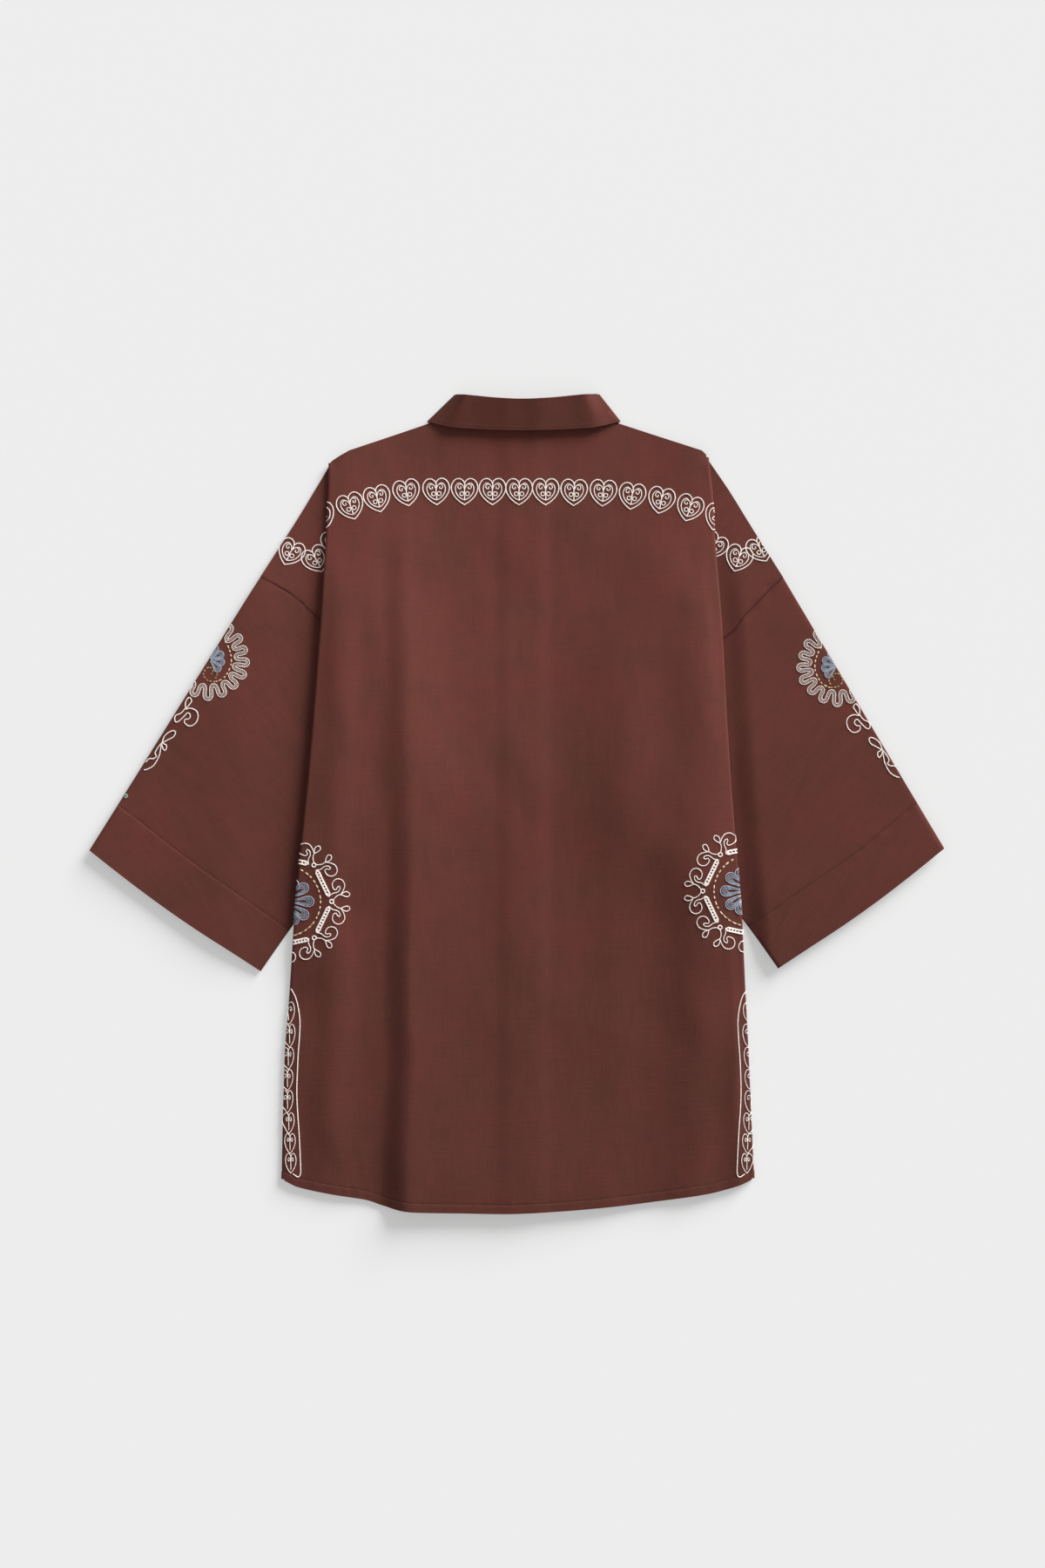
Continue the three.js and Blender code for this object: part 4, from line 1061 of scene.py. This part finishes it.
# The medallion over the top fold of each sleeve: a grey-blue flower, a dashed tan line that ends
# in an olive gold spiral, and a winding off-white ribbon of three rows over a scroll with leaves.
# What no formula gives is points on the plan of the left sleeve.
SLEEVE_RING = [(252, 728), (256, 733), (262.5, 743), (266, 757), (263.6, 768.6), (257, 778.6), (248, 783)]
SPIRAL = [(248, 783), (239, 781.5), (234, 775.5), (236, 769), (241, 766.5), (245, 770), (243, 774.5)]
SPIRAL_ARM = [(243.5, 762), (248.6, 768.5), (249.5, 775.7), (246, 781)]
SLEEVE_SCROLL = [(217.9, 800.7), (214.6, 804), (213.3, 809), (214, 813), (217.5, 809.5),
                 (220.6, 804.5), (217.9, 800.7), (214.6, 804), (213.3, 809), (214, 814), (217, 813.4),
                 (221.4, 813.6), (226.4, 816.8), (228, 822.4), (226, 829), (221.4, 833),
                 (216.6, 833.2), (212.6, 829.8), (213, 826), (216.4, 825.6), (218.8, 823.6),
                 (218.6, 820), (215.6, 818.6), (212, 822.4), (205, 828.6), (201.6, 828), (202, 822),
                 (208.6, 818.6), (213.2, 813.4)]
SLEEVE_LEAVES = [[(186.4, 853.6), (189, 846), (194, 841), (199.6, 838.8), (202, 841), (199.6, 846),
                  (193, 849.6), (187.6, 853), (191.4, 855.4), (191.6, 859.4), (189.6, 861.6),
                  (187, 858), (186, 853.6), (185, 860), (182.9, 868.6), (177, 878.6), (170, 883),
                  (166, 884)],
                 [(187, 852), (182, 858), (178.6, 864.3), (180, 868.4), (176.4, 871), (172, 871),
                  (168, 875)]]
SLEEVE_CENTRE, FLOWER_CENTRE = (240, 757), (240.5, 757.5)
SLEEVE_PETALS = (-138, -100, -62, -24, 12, 46)
RIBBON_R, RIBBON_SWING, RIBBON_LOBES, RIBBON_SPREAD = 37.8, 7.0, 17, 1.75


def ribbon(shift):
    """One row of the ribbon, set off sideways by shift: a wave that runs round a circle."""
    a = np.linspace(-1.5, 2.7, 700)
    swing = RIBBON_LOBES * a + 0.6 * np.sin(2.3 * a)
    r = RIBBON_R + RIBBON_SWING * np.sin(swing) * (1 + 0.12 * np.sin(5 * a))
    at = a - 0.031 * np.sin(2 * swing)
    p = np.column_stack([r * np.cos(at), r * np.sin(at)])
    normal = np.gradient(p, axis=0)[:, ::-1] * [-1, 1]
    normal /= np.linalg.norm(normal, axis=1, keepdims=True)
    return (p + normal * shift)[::5]


def sleeve_motif(name, side, centre, swing):
    """The left sleeve's chart brought to a centre, mirrored for the right, turned by swing."""
    fold = on_arm(side)

    def place(points):
        p = (np.asarray(points, float) - SLEEVE_CENTRE) * [-side.out, 1]
        return fold(turned(p, swing, centre))
    white, blue, pale = Thread(name + "_ribbon"), Thread(name + "_petals"), Thread(name + "_petal_edges")
    for shift in (-RIBBON_SPREAD, 0, RIBBON_SPREAD):
        white.chain(place(ribbon(shift) + SLEEVE_CENTRE), 0.9 if shift else 0.55, 0.6)
    for row in (SLEEVE_SCROLL, *SLEEVE_LEAVES):
        white.chain(place(row), 1.25)
    for angle in SLEEVE_PETALS:
        for grow in (0.45, 0.8):
            shape = np.array(petal(17.4, 7.4, 3)) * [1, grow]
            shape[:, 0] = 6 + (shape[:, 0] - 6) * (0.5 + 0.5 * grow)
            blue.chain(place(turned(shape, angle, FLOWER_CENTRE)), 1.7, 0.55)
        pale.chain(place(turned(petal(18, 8.4, 2), angle, FLOWER_CENTRE)), 1.1, 0.7)
    tan_row, gold_row = Thread(name + "_tan_ring"), Thread(name + "_spiral")
    tan_row.running(place(SLEEVE_RING), 3.8, 1.6, 1.4)
    gold_row.running(place(SPIRAL), 3.4, 0.9, 1.6)
    gold_row.running(place(SPIRAL_ARM), 3.4, 0.9, 1.6)
    white.finish(off_white)
    blue.finish(grey_blue)
    pale.finish(pale_blue)
    tan_row.finish(tan)
    gold_row.finish(gold)


sleeve_motif("left_sleeve", SIDES[0], (240, 757), 0)
sleeve_motif("right_sleeve", SIDES[1], (961, 764), 1.21)

# The tip of one more leaf at the left sleeve's fold, in mint green yarn: a single turn of chain
# stitch, as the rest of the leaf is round the fold.
LEAF_TIP = [(143.4, 913.5), (145.4, 911.8), (147, 913.5), (145.4, 915.2), (143.4, 915)]
low_leaf = Thread("left_sleeve_low_leaf")
low_leaf.chain(on_arm(SIDES[0])(LEAF_TIP), 1.4)
low_leaf.finish(yarn("mint_yarn", (176, 214, 196), (112, 152, 134)))

# THE COLLAR
# A shirt collar: a stand sewn to the neck edge, and a fall of two layers turned down over it.
# The back of the fall shows, standing slightly off the back at its lower edge.
FALL_BACK = [(522.5, 453, 490.3, 484.2), (534, 454.2, 518, 491), (546, 455.3, 543, 493),
             (566.5, 457.4, 566.5, 494.2), (588, 458.8, 588, 494.9), (601.5, 459, 601.5, 495),
             (615, 458.8, 615, 494.9), (636.5, 457.4, 636.5, 494.2), (657, 455.2, 660, 493),
             (672, 453.8, 685, 491), (688, 452.5, 712.7, 483.8)]
FALL_LEAF = [(522.5, 453, 490, 484.6), (527, 476, 490, 508), (537, 502, 495, 535),
             (553, 524, 507, 560), (572, 538, 526, 579), (590, 545, 549, 592)]
STAND_BACK = [(524.8, 455.6, 498.8, 482.6), (534, 456.7, 520, 488), (546, 457.8, 543, 488.9),
              (566.5, 459.9, 566.5, 489.6), (588, 461.3, 588, 489.8), (601.5, 461.5, 601.5, 490),
              (615, 461.3, 615, 489.8), (636.5, 459.9, 636.5, 489.6), (657, 457.7, 660, 488.9),
              (672, 456.3, 683, 488), (685.7, 455.2, 704.2, 482.6)]
STAND_LEAF = [(524.8, 456, 498, 483), (530, 480, 508.5, 507), (539, 505, 520, 529),
              (554, 524, 543, 551), (566.5, 534, 566.5, 564), (588, 543, 588, 570.5),
              (601.5, 546, 601.5, 572), (614, 543, 614, 570.6)]


# Painted shade: the whole collar, stand and fall, is darkened as if its fall faced away from the light.
COLLAR_SHADE = 0.26
FALL_WALL, FALL_ROWS = 1.5, 14


def neck_band(name, back_rows, leaf_rows, middle, thickness, raised, rows, seam, top_lift, edge_lift):
    """A band round the neck: left front leaf, turn, back leaf, turn, right front leaf."""
    reach = middle + thickness / 2
    dense_back = curve_through(back_rows)(np.linspace(0, 1, 61))
    dense_leaf = curve_through(leaf_rows)(np.linspace(0, 1, 31))[1:]
    shares = np.linspace(0, 1, rows + 1)
    upper, lower, weave = [], [], []

    def height(p):
        x, y = p[:, 0], p[:, 1]
        sides = (body_height(x, y, side) for side in SIDES)
        return np.where(x < CENTRE_X, *sides) - body_drape(x, y)

    def space(p, z):
        x = p[:, 0] + sum(np.where(side.out * (p[:, 0] - CENTRE_X) > 0, side.moved(p[:, 0], p[:, 1]), 0)
                          for side in SIDES)
        return np.stack([x - ORIGIN_X, ORIGIN_Y - p[:, 1], z], axis=-1) / 1000
    for share in shares:
        ends = []
        for sign, (x0, y0, x1, y1) in ((1, back_rows[0]), (-1, back_rows[-1])):
            long = math.hypot(x1 - x0, y1 - y0)
            inward = np.array([sign * (y1 - y0) / long, -sign * (x1 - x0) / long])
            end = np.array([x0 + (x1 - x0) * share, y0 + (y1 - y0) * share])
            ends.append((inward, end + inward * reach))

        def down(table):
            p, q = table[:, :2], table[:, 2:]
            long = np.linalg.norm(q - p, axis=1, keepdims=True)
            return p + (q - p) * share * (1 - seam / long)
        front = down(dense_leaf)
        back_line = down(dense_back[1:-1])
        angles = np.array([math.pi * i / 8 for i in range(1, 8)])
        faces = []
        for offset in (thickness / 2, -thickness / 2):
            level = lap_rise(front[:, 0])
            left = space(front, height(front) - (0 if raised else level) - middle - offset)[::-1]
            mirrored = np.column_stack([2 * CENTRE_X - front[:, 0], front[:, 1]])
            right = space(mirrored, height(mirrored) - lap_rise(mirrored[:, 0]) - middle - offset)
            around = []
            for (inward, centre), order in zip(ends, (angles[::-1], angles)):
                both = np.concatenate([[0], order, [0]])
                at = centre[None, :] - inward * ((middle + offset) * np.sin(both))[:, None]
                base = height(np.repeat(centre[None, :], len(both), axis=0))
                both[0], both[-1] = (math.pi, 0) if order[0] > order[-1] else (0, math.pi)
                around.append(space(at, base + (middle + offset) * np.cos(both)))
            u = np.linspace(0, 1, len(back_line) + 2)[1:-1]
            off = (top_lift + (edge_lift - top_lift) * share) * smooth(np.minimum(u, 1 - u) / 0.13)
            off = off * (1 + 0.1 * np.sin(9 * u + 2) + 0.06 * np.sin(23 * u))
            middle_leaf = space(back_line, height(back_line) + middle + offset + off)
            faces.append(np.concatenate([left, around[0], middle_leaf, around[1], right]))
        upper.append(faces[0])
        lower.append(faces[1])
        count = len(faces[0])
        weave.append(np.column_stack([np.arange(count) * 3.4 + 20, np.full(count, share * 42)]))
    weave = np.array(weave)
    piece = make_wall(name + "_cloth", weave, np.array(upper), np.array(lower),
                      shade=np.full(weave.shape[:2], COLLAR_SHADE))
    dress(piece, cloth, name)
    return piece, np.array(upper)


collar_stand, _ = neck_band("collar_stand", STAND_BACK, STAND_LEAF, middle=(WALL + GAP) / 2,
                            thickness=WALL, raised=True, rows=10, seam=GAP + 0.15,
                            top_lift=9.2, edge_lift=0)
collar_fall, fall_face = neck_band("collar_fall", FALL_BACK, FALL_LEAF, middle=REST + GAP + FALL_WALL / 2,
                                   thickness=FALL_WALL, raised=False, rows=FALL_ROWS, seam=0,
                                   top_lift=10.2, edge_lift=6.2)

# THE SEWING
# Lockstitch in a brown cotton thread: along the body hem, round the deep sleeve hems and along
# the edge of the collar.
brown_thread = yarn("brown_sewing_thread", (92, 50, 43), (66, 35, 29))
hem_stitches = Thread("hem_stitches")
hem_line = HEM_FINE[8:-8] - [0, 9.6]
hem_stitches.sewn(*hem_stitches.place(hem_line, 0.1))
hem_stitches.finish(brown_thread)
for name, side in (("left_sleeve_stitches", SIDES[0]), ("right_sleeve_stitches", SIDES[1])):
    stitches = Thread(name)
    length = np.linalg.norm(side.over_end - side.armhole(0.0))
    across = np.linspace(0.012, 0.99, 400)
    row = side.sleeve_point(across, np.full(400, 1 - (SLEEVE_HEM - 1.2) / length))
    stitches.sewn(*stitches.place(row[seen(row)], 0.1))
    stitches.finish(brown_thread)
collar_stitches = Thread("collar_stitches")
leaf = fall_face[:, 38:-38]
row = leaf[FALL_ROWS - 2] * 0.6 + leaf[FALL_ROWS - 1] * 0.4
collar_stitches.sewn(row, np.tile([0, 0, 0.001], (len(row), 1)))
collar_stitches.finish(brown_thread)

# THE SURFACE, THE LIGHT AND THE CAMERA
# A plain pale surface that is bright of itself, one broad soft light coming in low from beyond
# the right shoulder, and an even fill, seen straight down from above. Sizes are in metres.
FLOOR_HALF, CAMERA_HEIGHT = 30, 5.0
PHOTO_MIDDLE_X, PHOTO_MIDDLE_Y = 600, 900
floor_mesh = bpy.data.meshes.new("floor")
corners = [(x * FLOOR_HALF, y * FLOOR_HALF, 0) for x, y in ((-1, -1), (1, -1), (1, 1), (-1, 1))]
floor_mesh.from_pydata(corners, [], [(0, 1, 2, 3)])
floor = bpy.data.objects.new("floor", floor_mesh)
floor.location.z = -0.0003
bpy.context.scene.collection.objects.link(floor)
paper, start, link = new_material("pale_paper", Roughness=0.9, Specular_IOR_Level=0.1,
                                  Emission_Color=(1, 1, 0.995, 1), Emission_Strength=0.35)
fine = start.node("ShaderNodeTexNoise", {}, {"Scale": 3.0, "Detail": 2.0})
link("Base Color", fine.mix(srgb(181, 181, 181), srgb(179, 179, 179)))
floor.data.materials.append(paper)

sun_data = bpy.data.lights.new("soft_key", "SUN")
sun_data.energy, sun_data.angle = 6.15, math.radians(34)
sun = bpy.data.objects.new("soft_key", sun_data)
sun.rotation_euler = (math.radians(-70), 0, math.radians(-40))
bpy.context.scene.collection.objects.link(sun)
world = bpy.data.worlds.new("studio")
world.use_nodes = True
world.node_tree.nodes["Background"].inputs["Color"].default_value = (1, 1, 1, 1)
world.node_tree.nodes["Background"].inputs["Strength"].default_value = 0.42
bpy.context.scene.world = world
bpy.context.scene.view_settings.view_transform = "Standard"

camera_data = bpy.data.cameras.new("camera")
camera_data.lens = 100
camera = bpy.data.objects.new("camera", camera_data)
camera.location = ((PHOTO_MIDDLE_X - ORIGIN_X) / 1000, (ORIGIN_Y - PHOTO_MIDDLE_Y) / 1000, CAMERA_HEIGHT)
bpy.context.scene.collection.objects.link(camera)
bpy.context.scene.camera = camera
